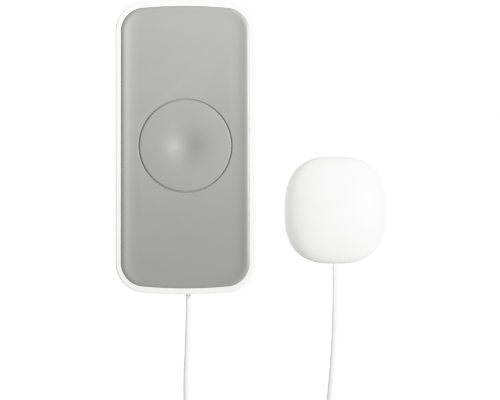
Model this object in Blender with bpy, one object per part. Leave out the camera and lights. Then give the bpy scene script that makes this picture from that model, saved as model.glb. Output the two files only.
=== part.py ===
"""Door contact sensor: a slim wall-mounted transmitter with a push button, and a wired contact head.

Metres, +Z up. The front looks along -Y and the wall is the plane Y = 0. The origin is on the wall, behind
the middle of the push button. Positions along Y are named from the wall outwards, so they are negative.
"""
import math

import bmesh
import bpy
from mathutils import Matrix, Vector

MM = 0.001
GAP = 0.3 * MM  # between neighbours that touch on the real object

# Transmitter outline
BODY_HALF_X = 33.5 * MM
BODY_HALF_Z = 70.5 * MM
BODY_CENTRE_Z = -0.7 * MM
BODY_BOTTOM = BODY_CENTRE_Z - BODY_HALF_Z
BODY_CORNER = 12.6 * MM
PANEL_HALF_X = 30.8 * MM
PANEL_HALF_Z = 67.6 * MM
PANEL_CORNER = 9.9 * MM
END_BOW = 2.15 * MM  # how far the middle of each short end stands out past its corners
WALL = 2.0 * MM

# Transmitter depths, from the wall to the front
PAD_FRONT = -0.8 * MM
PLATE_BACK = PAD_FRONT - GAP
PLATE_FRONT = -2.9 * MM
HOUSING_BACK = -1.5 * MM
RECESS_FLOOR = PLATE_FRONT - 0.4 * MM
DOOR_FRONT = -3.5 * MM
HOUSING_FLOOR = -5.2 * MM
HOUSING_RIM = -10.7 * MM
FRAME_RIM = HOUSING_RIM - GAP
BOARD_BACK = -10.6 * MM
BOARD_FRONT = -12.0 * MM
LEDGE_BACK = -15.2 * MM
LEDGE_FRONT = -16.2 * MM
LEDGE_SLOPE_END = LEDGE_BACK + 0.8 * MM
PANEL_BACK = -16.5 * MM
PANEL_FLAT = -18.2 * MM
FRAME_FRONT = -18.3 * MM
PANEL_LIP = -19.0 * MM
BACK_ROUNDING = 2.5 * MM
FRONT_ROUNDING = 1.2 * MM
DISH_WIDTH = 6.0 * MM
LIP_ROUNDING = 1.3 * MM
LIP_INSET = 1.5 * MM
LEDGE_REACH = 2.9 * MM

# Push button and its switch
HOLE_RADIUS = 22.35 * MM
BUTTON_RADIUS = 21.85 * MM
FLANGE_RADIUS = 23.4 * MM
FLANGE_THICKNESS = 1.0 * MM
EDGE_ROUNDING = 0.35 * MM
DIMPLE_DEPTH = 2.3 * MM
DIMPLE_WIDTH = 5.4 * MM
CROWN = 0.2 * MM
FLANGE_FRONT = PANEL_BACK + GAP
FLANGE_BACK = FLANGE_FRONT + FLANGE_THICKNESS
FLANGE_INNER = 20.4 * MM
BUTTON_TRAVEL = 0.5 * MM
STOP_FRONT = FLANGE_BACK + BUTTON_TRAVEL + GAP
STOP_INNER = 20.6 * MM
STOP_OUTER = 22.6 * MM
STEM_RADIUS = 2.4 * MM
STEM_END = -14.6 * MM
SWITCH_HALF = 3.0 * MM
SWITCH_TOP = -13.7 * MM
PLUNGER_RADIUS = 1.6 * MM
PLUNGER_TOP = STEM_END + GAP
PLUNGER_END = -13.4 * MM
WELL_RADIUS = 2.0 * MM
WELL_FLOOR = PLUNGER_END + BUTTON_TRAVEL + 0.2 * MM
RETURN_SPRING_BACK = 6.5 * MM
RETURN_SPRING_FRONT = 5.0 * MM

# Battery bay: two cells lie across the body, one above the other
CELL_RADIUS = 5.1 * MM
CELL_LENGTH = 43.5 * MM
CELL_NUB = 1.0 * MM
CELL_Y = -9.6 * MM
CELL_HEIGHTS = (-34.0 * MM, -46.0 * MM)
CRADLE_HALF_X = 27.2 * MM
CRADLE_TOP = -26.0 * MM
CRADLE_BOTTOM = -54.0 * MM
CRADLE_BACK = HOUSING_FLOOR - GAP
CRADLE_FRONT = -15.7 * MM
CRADLE_WALL = 1.0 * MM
BAY_HALF_X = 22.9 * MM
BAY_BOTTOM = -52.5 * MM
BAY_TOP = -27.5 * MM
DOOR_TOP = -25.0 * MM
DOOR_HALF_X_OUTER = 23.8 * MM
DOOR_HALF_X_INNER = 25.0 * MM
DOOR_RIDGE_HEIGHTS = (-34.0 * MM, -37.0 * MM, -40.0 * MM)
DOOR_RIDGE_HALF_X = 8.0 * MM
BELOW_BODY = -75.0 * MM

# Wall plate: four hooks catch behind the back wall, and let go when the transmitter is lifted
PLATE_HALF_X = 22.0 * MM
PLATE_BOTTOM = -10.0 * MM
PLATE_TOP = 46.0 * MM
PLATE_TRAVEL = 8.0 * MM
HOOK_X = 13.0 * MM
HOOK_HEIGHTS = (0.0 * MM, 36.0 * MM)
HOOK_HALF_HEIGHT = 4.0 * MM
HOOK_NECK = 1.2 * MM
HOOK_HEAD = 2.6 * MM
HOOK_HEAD_BACK = HOUSING_FLOOR - GAP
HOOK_HEAD_FRONT = -6.9 * MM

# Screws, their holes and the posts they bite into
SCREW_SHANK = 1.0 * MM
SCREW_HEAD = 1.9 * MM
SCREW_HEAD_HEIGHT = 1.2 * MM
SHANK_HOLE = 1.3 * MM
HEAD_HOLE = 2.2 * MM
POST_RADIUS = 2.3 * MM
LOWER_POST_END = -7.2 * MM
# Each: corner, (distance from the middle, height), back of the screw's head, end of its post
HOUSING_SCREWS = (
    ("upper", (28.0 * MM, 57.0 * MM), -2.3 * MM, HOUSING_FLOOR - GAP),
    ("lower", (14.0 * MM, -63.5 * MM), -3.9 * MM, LOWER_POST_END),
)
POST_TOP = -15.8 * MM
POST_HOLE_END = -15.0 * MM

# Main board
BOARD_HALF_X = 25.2 * MM
BOARD_BOTTOM = -22.0 * MM
BOARD_TOP = 61.0 * MM
BOARD_SCREW = (22.0 * MM, 54.0 * MM)
STANDOFF_RADIUS = 2.2 * MM
SUPPORT_RADIUS = 1.8 * MM
SUPPORT_Z = -14.0 * MM
ANTENNA_Y = -13.2 * MM

# Contact head
HEAD_X = 71.8 * MM
HEAD_Z = -30.95 * MM
HEAD_HALF_X = 24.5 * MM
HEAD_HALF_Z = 26.0 * MM
HEAD_SQUARENESS = 2.65
HEAD_RIM = -1.6 * MM
HEAD_WIDEST = -6.5 * MM
HEAD_DOME = 12.0 * MM
HEAD_WALL = 1.8 * MM
HEAD_RIM_SCALE = 0.90
HEAD_BASE_FRONT = -3.1 * MM
HEAD_BOARD_BACK = -5.4 * MM
HEAD_BOARD_FRONT = -6.6 * MM
HEAD_SCREW_RISE = 13.0 * MM
HEAD_BOSS_TOP = -15.9 * MM
HEAD_BOSS_HOLE = -11.5 * MM
HEAD_BOARD_DROP = 3.0 * MM
HEAD_BOARD_HALF_X = 11.0 * MM
HEAD_BOARD_HALF_Z = 13.0 * MM
HEAD_PAD_SCALE = (0.62, 0.40)
REED_OFFSET = (-6.0 * MM, -8.8 * MM, -1.0 * MM)
REED_HALF = 6.5 * MM

# Lead
LEAD_RADIUS = 1.25 * MM
LEAD_X = 1.3 * MM
LEAD_Y = -7.9 * MM
HEAD_LEAD_Y = HEAD_WIDEST
TAIL_RADIUS = 1.1 * MM
GROMMET_NECK = 1.7 * MM
GROMMET_COLLAR = 2.3 * MM
GROMMET_COLLAR_LENGTH = 1.7 * MM
TRANSMITTER_EXIT = BODY_BOTTOM + 0.1 * MM
HEAD_EXIT = HEAD_Z - HEAD_HALF_Z + 0.1 * MM
COIL_CENTRE = (36.4 * MM, -7.5 * MM, -200.0 * MM)
COIL_RADIUS = 15.0 * MM
COIL_BUNDLE = 4.4 * MM
TIE_INNER = COIL_BUNDLE + 0.5 * MM
TIE_OUTER = COIL_BUNDLE + 1.2 * MM
TIE_HALF_HEIGHT = 2.0 * MM

ROUND_STEPS = 40
SMALL_STEPS = 16
TINY_STEPS = 12


# ---------------------------------------------------------------- materials

def material(name, colour, roughness, metallic=0.0):
    """A Principled material, made once for each name."""
    found = bpy.data.materials.get(name)
    if found:
        return found
    made = bpy.data.materials.new(name)
    made.use_nodes = True
    shader = made.node_tree.nodes["Principled BSDF"]
    shader.inputs["Base Color"].default_value = (*colour, 1.0)
    shader.inputs["Roughness"].default_value = roughness
    shader.inputs["Metallic"].default_value = metallic
    return made


def white_plastic():
    return material("white_plastic", (0.93, 0.93, 0.91), 0.45)


def grey_plastic():
    return material("grey_plastic", (0.42, 0.42, 0.41), 0.5)


def dark_plastic():
    return material("dark_plastic", (0.05, 0.05, 0.055), 0.5)


def board_green():
    return material("board_green", (0.03, 0.16, 0.09), 0.45)


def steel():
    return material("steel", (0.62, 0.62, 0.6), 0.3, 1.0)


def soft_rubber():
    return material("soft_rubber", (0.8, 0.8, 0.78), 0.7)


def foam():
    return material("foam", (0.75, 0.75, 0.73), 0.9)


def cell_jacket():
    return material("cell_jacket", (0.12, 0.2, 0.3), 0.4)


def clear_glass():
    return material("clear_glass", (0.8, 0.9, 0.82), 0.05)


def lead_jacket():
    return material("lead_jacket", (0.9, 0.9, 0.88), 0.5)


# ---------------------------------------------------------------- shapes

def clear_scene():
    for old in list(bpy.data.objects):
        bpy.data.objects.remove(old, do_unlink=True)


def add_object(name, mesh, look):
    made = bpy.data.objects.new(name, mesh)
    bpy.context.scene.collection.objects.link(made)
    if look:
        mesh.materials.append(look)
    return made


def finish_mesh(name, bm, look, location=(0, 0, 0)):
    """Turn a bmesh into an object with its faces pointing out."""
    bmesh.ops.recalc_face_normals(bm, faces=bm.faces)
    mesh = bpy.data.meshes.new(name)
    bm.to_mesh(mesh)
    bm.free()
    mesh.shade_smooth()
    mesh.set_sharp_from_angle(angle=math.radians(35))
    made = add_object(name, mesh, look)
    made.location = location
    return made


def loft(name, rings, look, location=(0, 0, 0)):
    """A closed solid through rings of points. A ring of one point is a pole; any other end ring is capped."""
    bm = bmesh.new()
    rows = [[bm.verts.new(p) for p in ring] for ring in rings]
    for near, far in zip(rows, rows[1:]):
        count = max(len(near), len(far))
        for i in range(count):
            j = (i + 1) % count
            if len(near) == 1:
                corners = (near[0], far[i], far[j])
            elif len(far) == 1:
                corners = (near[i], near[j], far[0])
            else:
                corners = (near[i], near[j], far[j], far[i])
            bm.faces.new(corners)
    for end in (rows[0], rows[-1]):
        if len(end) > 1:
            bm.faces.new(end)
    return finish_mesh(name, bm, look, location)


def circle(centre, across, up, steps):
    """Points round a circle that starts along one spoke and turns towards the other."""
    centre, across, up = Vector(centre), Vector(across), Vector(up)
    turns = [2 * math.pi * k / steps for k in range(steps)]
    return [centre + across * math.cos(a) + up * math.sin(a) for a in turns]


def closed_loft(name, rings, look):
    """A ring-shaped solid: the last ring of points joins the first."""
    bm = bmesh.new()
    rows = [[bm.verts.new(p) for p in ring] for ring in rings]
    for near, far in zip(rows, rows[1:] + rows[:1]):
        for i in range(len(near)):
            j = (i + 1) % len(near)
            bm.faces.new((near[i], near[j], far[j], far[i]))
    return finish_mesh(name, bm, look)


def box(name, low, high, look=None, bevel=0.0):
    """A box between two corners, with its edges bevelled if asked."""
    bm = bmesh.new()
    bmesh.ops.create_cube(bm, size=1.0)
    size = Vector(high) - Vector(low)
    bmesh.ops.transform(bm, matrix=Matrix.Diagonal((*size, 1.0)), verts=bm.verts)
    if bevel:
        bmesh.ops.bevel(bm, geom=bm.edges, offset=bevel, segments=1, affect="EDGES")
    return finish_mesh(name, bm, look, (Vector(low) + Vector(high)) / 2)


def turned(name, profile, look=None, centre=(0, 0, 0), axis="Y", steps=SMALL_STEPS):
    """A solid of revolution. The profile's points are (radius, distance along the axis)."""
    rings = []
    for radius, along in profile:
        if radius == 0:
            rings.append([(0, 0, along)])
            continue
        turns = [2 * math.pi * k / steps for k in range(steps)]
        rings.append([(radius * math.cos(a), radius * math.sin(a), along) for a in turns])
    turn = {
        "X": Matrix.Rotation(math.pi / 2, 3, "Y"),
        "Y": Matrix.Rotation(-math.pi / 2, 3, "X"),
        "Z": Matrix.Identity(3),
    }[axis]
    rings = [[turn @ Vector(p) for p in ring] for ring in rings]
    return loft(name, rings, look, centre)


def cylinder(name, radius, start, end, look=None, centre=(0, 0, 0), axis="Y", steps=SMALL_STEPS):
    return turned(name, [(radius, start), (radius, end)], look, centre, axis, steps)


def small_round(name, radius, start, end, place):
    """A narrow cylinder along Y, for a screw hole or a slim post."""
    return cylinder(name, radius, start, end, None, place, "Y", TINY_STEPS)


def tube(name, points, radius, look, sides_level=2):
    """A round rod along a row of points, with flat ends."""
    curve = bpy.data.curves.new(name, "CURVE")
    curve.dimensions = "3D"
    curve.bevel_depth = radius
    curve.bevel_resolution = sides_level
    curve.use_fill_caps = True
    spline = curve.splines.new("POLY")
    spline.points.add(len(points) - 1)
    for point, place in zip(spline.points, points):
        point.co = (*place, 1.0)
    curve.materials.append(look)
    made = bpy.data.objects.new(name, curve)
    bpy.context.scene.collection.objects.link(made)
    return made


def combine(target, tool, operation):
    """Cut the tool from the target, or join it on, and keep the tool as a hidden guide."""
    step = target.modifiers.new(tool.name, "BOOLEAN")
    step.operation = operation
    step.solver = "EXACT"
    step.object = tool
    tool.hide_render = True
    tool.display_type = "WIRE"


def cut(target, tool):
    combine(target, tool, "DIFFERENCE")


def join(target, tool):
    combine(target, tool, "UNION")


def keep_inside(target, tool):
    combine(target, tool, "INTERSECT")


def rounded_outline(half_x, half_z, corner, inset, y):
    """Points round a rounded rectangle whose short ends bow out, shrunk by inset, at depth y."""
    bow = END_BOW
    half_x, half_z, corner = half_x - inset, half_z - inset, corner - inset
    corner_steps, side_steps, end_steps = 6, 6, 4
    flat_x, flat_z = half_x - corner, half_z - bow - corner
    points = []
    for turn, (sx, sz) in enumerate(((1, 1), (-1, 1), (-1, -1), (1, -1))):
        for k in range(corner_steps + 1):
            angle = math.pi / 2 * (turn + k / corner_steps)
            points.append((sx * flat_x + corner * math.cos(angle), sz * flat_z + corner * math.sin(angle)))
        steps = end_steps if turn % 2 == 0 else side_steps
        for k in range(1, steps):
            slide = 1 - 2 * k / steps
            if turn % 2 == 0:
                points.append((sx * flat_x * slide, sz * (half_z - bow)))
            else:
                points.append((sx * half_x, sz * flat_z * slide))
    bowed = []
    for x, z in points:
        rise = bow * (1 - (x / half_x) ** 2) * z / (half_z - bow)
        bowed.append((x, y, BODY_CENTRE_Z + z + rise))
    return bowed


def body_ring(inset, y):
    return rounded_outline(BODY_HALF_X, BODY_HALF_Z, BODY_CORNER, inset, y)


def panel_ring(inset, y):
    return rounded_outline(PANEL_HALF_X, PANEL_HALF_Z, PANEL_CORNER, inset, y)


def rounding(radius, steps):
    """(inwards, outwards) offsets along a quarter-round edge, from its side to its face."""
    angles = [math.pi / 2 * k / steps for k in range(steps + 1)]
    return [(radius * (1 - math.cos(a)), radius * math.sin(a)) for a in angles]


def smooth_path(route, count):
    """Points evenly spread along a smooth curve through the route's own points, given in millimetres."""
    knots = [Vector(p) * MM for p in route]
    ends = [2 * knots[0] - knots[1], *knots, 2 * knots[-1] - knots[-2]]
    fine = []
    pieces = 24
    for a, b, c, d in zip(ends, ends[1:], ends[2:], ends[3:]):
        for k in range(pieces):
            t = k / pieces
            fine.append(0.5 * (2 * b + (c - a) * t + (2 * a - 5 * b + 4 * c - d) * t**2
                               + (3 * b - a - 3 * c + d) * t**3))
    fine.append(knots[-1])
    travelled = [0.0]
    for a, b in zip(fine, fine[1:]):
        travelled.append(travelled[-1] + (b - a).length)
    points = []
    step = 0
    for k in range(count):
        goal = travelled[-1] * k / (count - 1)
        while step < len(fine) - 2 and travelled[step + 1] < goal:
            step += 1
        share = (goal - travelled[step]) / (travelled[step + 1] - travelled[step])
        points.append(fine[step].lerp(fine[step + 1], min(share, 1.0)))
    return points


def screw(name, x, y_head, z, length, towards=-1):
    """A pan-head screw with a socket; its shank runs from the head towards the front (-1) or the wall (1)."""
    socket = 0.75 * MM
    profile = [
        (0, -0.6 * MM), (socket, -0.6 * MM), (socket, 0), (0.8 * SCREW_HEAD, 0),
        (SCREW_HEAD, -0.35 * MM), (SCREW_HEAD, -SCREW_HEAD_HEIGHT), (SCREW_SHANK, -SCREW_HEAD_HEIGHT),
        (SCREW_SHANK, -SCREW_HEAD_HEIGHT - length), (0, -SCREW_HEAD_HEIGHT - length - 0.5 * MM),
    ]
    profile = [(r, -towards * along) for r, along in profile]
    return turned(name, profile, steel(), (x, y_head, z), "Y", TINY_STEPS)


def coil_spring(name, start, end, radius_start, radius_end, wire, turns, axis):
    """A spring from start to end along an axis, whose radius changes evenly."""
    per_turn = 10
    count = int(turns * per_turn)
    start, end = Vector(start), Vector(end)
    points = []
    for k in range(count + 1):
        share = k / count
        angle = 2 * math.pi * k / per_turn
        radius = radius_start + (radius_end - radius_start) * share
        across = (radius * math.cos(angle), radius * math.sin(angle))
        spoke = Vector((0, *across)) if axis == "X" else Vector((across[0], 0, across[1]))
        points.append(start.lerp(end, share) + spoke)
    return tube(name, points, wire / 2, steel(), sides_level=1)


# ---------------------------------------------------------------- transmitter shells

def body_envelope():
    """Rings of the body's outside, from its back face to the housing's rim."""
    rings = []
    for inwards, backwards in reversed(rounding(BACK_ROUNDING, 3)):
        rings.append(body_ring(inwards, HOUSING_BACK - BACK_ROUNDING + backwards))
    rings.append(body_ring(0, HOUSING_RIM))
    return rings


def rear_housing():
    rings = body_envelope()
    rings += [body_ring(WALL, HOUSING_RIM), body_ring(WALL, HOUSING_FLOOR)]
    housing = loft("rear_housing", rings, white_plastic())

    beside, below, above = 0.5 * MM, 0.7 * MM, 0.6 * MM
    recess_low = (-PLATE_HALF_X - beside, RECESS_FLOOR, PLATE_BOTTOM - PLATE_TRAVEL - below)
    recess_high = (PLATE_HALF_X + beside, 0, PLATE_TOP + above)
    cut(housing, box("cut_plate_recess", recess_low, recess_high))
    for x in (-HOOK_X, HOOK_X):
        for z in HOOK_HEIGHTS:
            cut_keyhole(housing, x, z)
    cut(housing, door_prism("cut_door_channel", GAP, DOOR_TOP + GAP))
    bay_low = (-BAY_HALF_X, HOUSING_FLOOR - WALL, BAY_BOTTOM)
    bay_high = (BAY_HALF_X, 0, BAY_TOP)
    cut(housing, box("cut_battery_bay", bay_low, bay_high))
    for side in (-1, 1):
        add_board_supports(housing, side)
        add_screw_holes(housing, side)
    cut(housing, cylinder("cut_grommet_hole", GROMMET_NECK + GAP, BELOW_BODY, BODY_BOTTOM + 5 * WALL,
                          None, (LEAD_X, LEAD_Y, 0), "Z"))


def add_board_supports(housing, side):
    """A standoff with a screw hole under the board's upper corner, and a plain post under its lower one."""
    x, z = BOARD_SCREW
    root = HOUSING_FLOOR + 0.2 * MM
    top = BOARD_BACK + GAP
    place = (side * x, 0, z)
    join(housing, cylinder(f"guide_standoff_{side}", STANDOFF_RADIUS, root, top, None, place))
    hole_floor = HOUSING_FLOOR - SHANK_HOLE
    cut(housing, small_round(f"cut_standoff_{side}", SHANK_HOLE, hole_floor, BOARD_FRONT, place))
    place = (side * x, 0, SUPPORT_Z)
    join(housing, small_round(f"guide_support_{side}", SUPPORT_RADIUS, root, top, place))


def add_screw_holes(housing, side):
    """Countersunk holes for the two screws that pull one side of the front frame on."""
    clear = 0.1 * MM
    for corner, (x, z), back, _ in HOUSING_SCREWS:
        place = (side * x, 0, z)
        seat = back - SCREW_HEAD_HEIGHT - clear
        if corner == "lower":
            root, end = HOUSING_FLOOR + 0.2 * MM, LOWER_POST_END + GAP
            join(housing, cylinder(f"guide_boss_{side}", POST_RADIUS, root, end, None, place))
        cut(housing, cylinder(f"cut_head_{corner}_{side}", HEAD_HOLE, seat, 0, None, place))
        cut(housing, small_round(f"cut_shank_{corner}_{side}", SHANK_HOLE, POST_HOLE_END, 0, place))


def cut_keyhole(housing, x, z):
    """A slot for one hook: narrow where the hook rests, wide below, where it comes out."""
    name = f"{round(x / MM)}_{round(z / MM)}"
    clear = 0.4 * MM
    bottom = z - HOOK_HALF_HEIGHT - PLATE_TRAVEL - clear
    top = z + HOOK_HALF_HEIGHT + clear
    wide_top = bottom + 2 * HOOK_HALF_HEIGHT + clear
    for part, half, upper in (("narrow", HOOK_NECK, top), ("wide", HOOK_HEAD, wide_top)):
        low = (x - half - clear, HOUSING_FLOOR - WALL, bottom)
        high = (x + half + clear, 0, upper)
        cut(housing, box(f"cut_key_{part}_{name}", low, high))


def door_prism(name, clearance, top, look=None):
    """The sliding door's dovetail section, wider inside than outside, drawn down past the body's end."""
    slope = (DOOR_HALF_X_INNER - DOOR_HALF_X_OUTER) / (HOUSING_BACK - DOOR_FRONT)
    past_back = 1.0 * MM if clearance else 0.0
    outer = DOOR_HALF_X_OUTER + clearance - slope * past_back
    inner = DOOR_HALF_X_INNER + clearance
    back = HOUSING_BACK + past_back
    front = DOOR_FRONT - clearance
    section = [(-outer, back), (outer, back), (inner, front), (-inner, front)]
    rings = [[(x, y, z) for x, y in section] for z in (BELOW_BODY, top)]
    return loft(name, rings, look)


def battery_door():
    door = door_prism("battery_door", 0.0, DOOR_TOP, white_plastic())
    keep_inside(door, loft("guide_door_envelope", body_envelope(), None))
    sunk, proud, half_height = 0.8 * MM, 0.4 * MM, 0.6 * MM
    for number, z in enumerate(DOOR_RIDGE_HEIGHTS, start=1):
        low = (-DOOR_RIDGE_HALF_X, HOUSING_BACK - sunk, z - half_height)
        high = (DOOR_RIDGE_HALF_X, HOUSING_BACK + proud, z + half_height)
        join(door, box(f"guide_door_ridge_{number}", low, high))


def front_frame():
    rings = [body_ring(0, FRAME_RIM)]
    for inwards, forwards in rounding(FRONT_ROUNDING, 4):
        rings.append(body_ring(inwards, FRAME_FRONT + FRONT_ROUNDING - forwards))
    rings += [panel_ring(-GAP, FRAME_FRONT), panel_ring(-GAP, LEDGE_FRONT)]
    rings += [panel_ring(LEDGE_REACH, LEDGE_FRONT), panel_ring(LEDGE_REACH, LEDGE_BACK)]
    rings += [body_ring(WALL, LEDGE_SLOPE_END), body_ring(WALL, FRAME_RIM)]
    frame = closed_loft("front_frame", rings, white_plastic())
    for side in (-1, 1):
        for corner, (x, z), _, end in HOUSING_SCREWS:
            place = (side * x, 0, z)
            join(frame, cylinder(f"guide_post_{corner}_{side}", POST_RADIUS, end, POST_TOP, None, place))
            cut(frame, small_round(f"cut_post_{corner}_{side}", SHANK_HOLE, 0, POST_HOLE_END, place))


def front_panel():
    rings = [panel_ring(0, PANEL_BACK)]
    for inwards, forwards in rounding(LIP_ROUNDING, 3)[:-1]:
        rings.append(panel_ring(inwards, PANEL_LIP + LIP_ROUNDING - forwards))
    rings.append(panel_ring(LIP_INSET, PANEL_LIP))
    steps = 4
    for k in range(1, steps + 1):
        share = k / steps
        rise = (PANEL_FLAT - PANEL_LIP) * (1 - share) ** 2
        rings.append(panel_ring(LIP_INSET + DISH_WIDTH * share, PANEL_FLAT - rise))
    panel = loft("front_panel", rings, grey_plastic())
    behind, before = PANEL_BACK + WALL, PANEL_LIP - WALL
    profile = [
        (0, behind), (HOLE_RADIUS, behind), (HOLE_RADIUS, PANEL_FLAT + EDGE_ROUNDING),
        (HOLE_RADIUS + EDGE_ROUNDING, PANEL_FLAT), (HOLE_RADIUS + EDGE_ROUNDING, before), (0, before),
    ]
    cut(panel, turned("cut_button_hole", profile, steps=ROUND_STEPS))


def button_face(radius):
    """Depth of the button's face at a radius: a faint crown with a soft dimple in its middle."""
    crown = CROWN * (1 - (radius / BUTTON_RADIUS) ** 2)
    dimple = DIMPLE_DEPTH * math.exp(-0.5 * (radius / DIMPLE_WIDTH) ** 2)
    return PANEL_FLAT - crown + dimple


def function_button():
    """A thin cap with a flange behind the panel and a short stem over the switch."""
    radii = [0.0, 2.5, 5.0, 7.5, 10.0, 13.0, 17.0]
    profile = [(r * MM, button_face(r * MM)) for r in radii]
    profile.append((BUTTON_RADIUS - EDGE_ROUNDING, PANEL_FLAT))
    profile.append((BUTTON_RADIUS, PANEL_FLAT + EDGE_ROUNDING))
    thin, thick = -16.9 * MM, -15.1 * MM
    profile += [
        (BUTTON_RADIUS, FLANGE_FRONT), (FLANGE_RADIUS, FLANGE_FRONT), (FLANGE_RADIUS, FLANGE_BACK),
        (FLANGE_INNER, FLANGE_BACK), (FLANGE_INNER, thin), (12.5 * MM, thin), (8.0 * MM, thick),
        (STEM_RADIUS, thick), (STEM_RADIUS, STEM_END), (0, STEM_END),
    ]
    turned("function_button", profile, grey_plastic(), axis="Y", steps=ROUND_STEPS)


# ---------------------------------------------------------------- transmitter insides

def main_board():
    low = (-BOARD_HALF_X, BOARD_FRONT, BOARD_BOTTOM)
    high = (BOARD_HALF_X, BOARD_BACK, BOARD_TOP)
    board = box("main_board", low, high, board_green())
    x, z = BOARD_SCREW
    screw_back = BOARD_FRONT - GAP - SCREW_HEAD_HEIGHT
    for number, side in enumerate((-1, 1), start=1):
        place = (side * x, 0, z)
        cut(board, small_round(f"cut_board_hole_{number}", SHANK_HOLE, 0, screw_back, place))
        screw(f"board_screw_{number}", side * x, screw_back, z, 5.0 * MM, towards=1)


def on_board(name, low, high, height, look, bevel):
    """A component on the board's front, between two corners (x, z) in millimetres."""
    base = BOARD_FRONT - GAP
    low = (low[0] * MM, base - height, low[1] * MM)
    high = (high[0] * MM, base, high[1] * MM)
    return box(name, low, high, look, bevel)


def board_components():
    on_board("controller_chip", (-16, 26), (-8, 34), 1.0 * MM, dark_plastic(), 0.15 * MM)
    on_board("radio_can", (-3, 27), (15, 43), 2.2 * MM, steel(), 0.3 * MM)
    on_board("lead_terminal", (18.8, -20.5), (24.5, -15.6), 2.3 * MM, soft_rubber(), 0.3 * MM)
    route = [(-14, 45), (-14, 50), (-12, 55), (-5, 58.5), (6, 58.5), (15, 55.5), (16.5, 50), (16.5, 46)]
    path = smooth_path([(x, ANTENNA_Y / MM, z) for x, z in route], 22)
    tube("antenna_wire", path, 0.5 * MM, steel(), 1)


def switch():
    """A tact switch behind the button's stem, the button's return spring and its soft stop."""
    base = BOARD_FRONT - GAP
    low = (-SWITCH_HALF, SWITCH_TOP, -SWITCH_HALF)
    high = (SWITCH_HALF, base, SWITCH_HALF)
    body = box("switch_body", low, high, dark_plastic(), 0.3 * MM)
    cut(body, cylinder("cut_plunger_well", WELL_RADIUS, WELL_FLOOR, PLUNGER_TOP))
    cylinder("switch_plunger", PLUNGER_RADIUS, PLUNGER_END, PLUNGER_TOP, dark_plastic())
    corners = ((STOP_INNER, base), (STOP_OUTER, base), (STOP_OUTER, STOP_FRONT), (STOP_INNER, STOP_FRONT))
    rings = [circle((0, y, 0), (radius, 0, 0), (0, 0, radius), 32) for radius, y in corners]
    closed_loft("button_stop_ring", rings, soft_rubber())
    coil_spring("button_return_spring", (0, base - 0.4 * MM, 0), (0, STEM_END, 0), RETURN_SPRING_BACK,
                RETURN_SPRING_FRONT, 0.5 * MM, 2, "Y")


def battery_cradle():
    low = (-CRADLE_HALF_X, CRADLE_FRONT, CRADLE_BOTTOM)
    high = (CRADLE_HALF_X, CRADLE_BACK, CRADLE_TOP)
    cradle = box("battery_cradle", low, high, dark_plastic())
    bay_low = (-CRADLE_HALF_X + CRADLE_WALL, CRADLE_FRONT + 0.7 * MM, CRADLE_BOTTOM + CRADLE_WALL)
    bay_high = (CRADLE_HALF_X - CRADLE_WALL, 0, CRADLE_TOP - CRADLE_WALL)
    cut(cradle, box("cut_cradle_bay", bay_low, bay_high))


def battery_cells():
    """Two cells facing opposite ways, each with a spring at its flat end and a plate at its nub."""
    half = CELL_LENGTH / 2
    shoulder, soft, nub_radius = CELL_RADIUS - 0.6 * MM, 0.5 * MM, 1.9 * MM
    plate_start = half + CELL_NUB + GAP
    plate_end = plate_start + 0.5 * MM
    plate_half = 4.0 * MM
    for number, (z, side) in enumerate(zip(CELL_HEIGHTS, (1, -1)), start=1):
        profile = [
            (0, -half), (shoulder, -half), (CELL_RADIUS, -half + soft), (CELL_RADIUS, half - soft),
            (shoulder, half), (nub_radius, half), (nub_radius, half + CELL_NUB), (0, half + CELL_NUB),
        ]
        profile = [(r, side * along) for r, along in profile]
        turned(f"battery_cell_{number}", profile, cell_jacket(), (0, CELL_Y, z), "X", 20)
        left, right = sorted((side * plate_start, side * plate_end))
        box(f"battery_plate_{number}", (left, CELL_Y - plate_half, z - plate_half),
            (right, CELL_Y + plate_half, z + plate_half), steel())
        near = (-side * (half + 0.7 * MM), CELL_Y, z)
        far = (-side * (half + 3.9 * MM), CELL_Y, z)
        coil_spring(f"battery_spring_{number}", near, far, 2.0 * MM, 3.8 * MM, 0.6 * MM, 3, "X")


def housing_screws():
    number = 0
    for side in (-1, 1):
        for _, (x, z), back, _ in HOUSING_SCREWS:
            number += 1
            screw(f"housing_screw_{number}", side * x, back, z, 9.0 * MM)


def wall_plate():
    low = (-PLATE_HALF_X, PLATE_FRONT, PLATE_BOTTOM)
    high = (PLATE_HALF_X, PLATE_BACK, PLATE_TOP)
    plate = box("wall_plate", low, high, white_plastic())
    root = PLATE_FRONT + 0.9 * MM
    neck = ("neck", HOOK_NECK, HOOK_HEAD_FRONT + 0.5 * MM, root)
    head = ("head", HOOK_HEAD, HOOK_HEAD_FRONT, HOOK_HEAD_BACK)
    for x in (-HOOK_X, HOOK_X):
        for z in HOOK_HEIGHTS:
            name = f"{round(x / MM)}_{round(z / MM)}"
            for part, half, front, back in (neck, head):
                low = (x - half, front, z - HOOK_HALF_HEIGHT)
                high = (x + half, back, z + HOOK_HALF_HEIGHT)
                join(plate, box(f"guide_hook_{part}_{name}", low, high))
    inset = 1.5 * MM
    box("wall_plate_pad", (-PLATE_HALF_X + inset, PAD_FRONT, PLATE_BOTTOM + inset),
        (PLATE_HALF_X - inset, 0, PLATE_TOP - inset), foam())


# ---------------------------------------------------------------- contact head

def head_ring(scale_x, scale_z, y, steps=ROUND_STEPS):
    """A squircle of the head's outline, scaled, at depth y."""
    points = []
    power = 2 / HEAD_SQUARENESS
    for k in range(steps):
        angle = 2 * math.pi * k / steps
        c, s = math.cos(angle), math.sin(angle)
        x = math.copysign(abs(c) ** power, c) * HEAD_HALF_X * scale_x
        z = math.copysign(abs(s) ** power, s) * HEAD_HALF_Z * scale_z
        points.append((HEAD_X + x, y, HEAD_Z + z))
    return points


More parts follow.
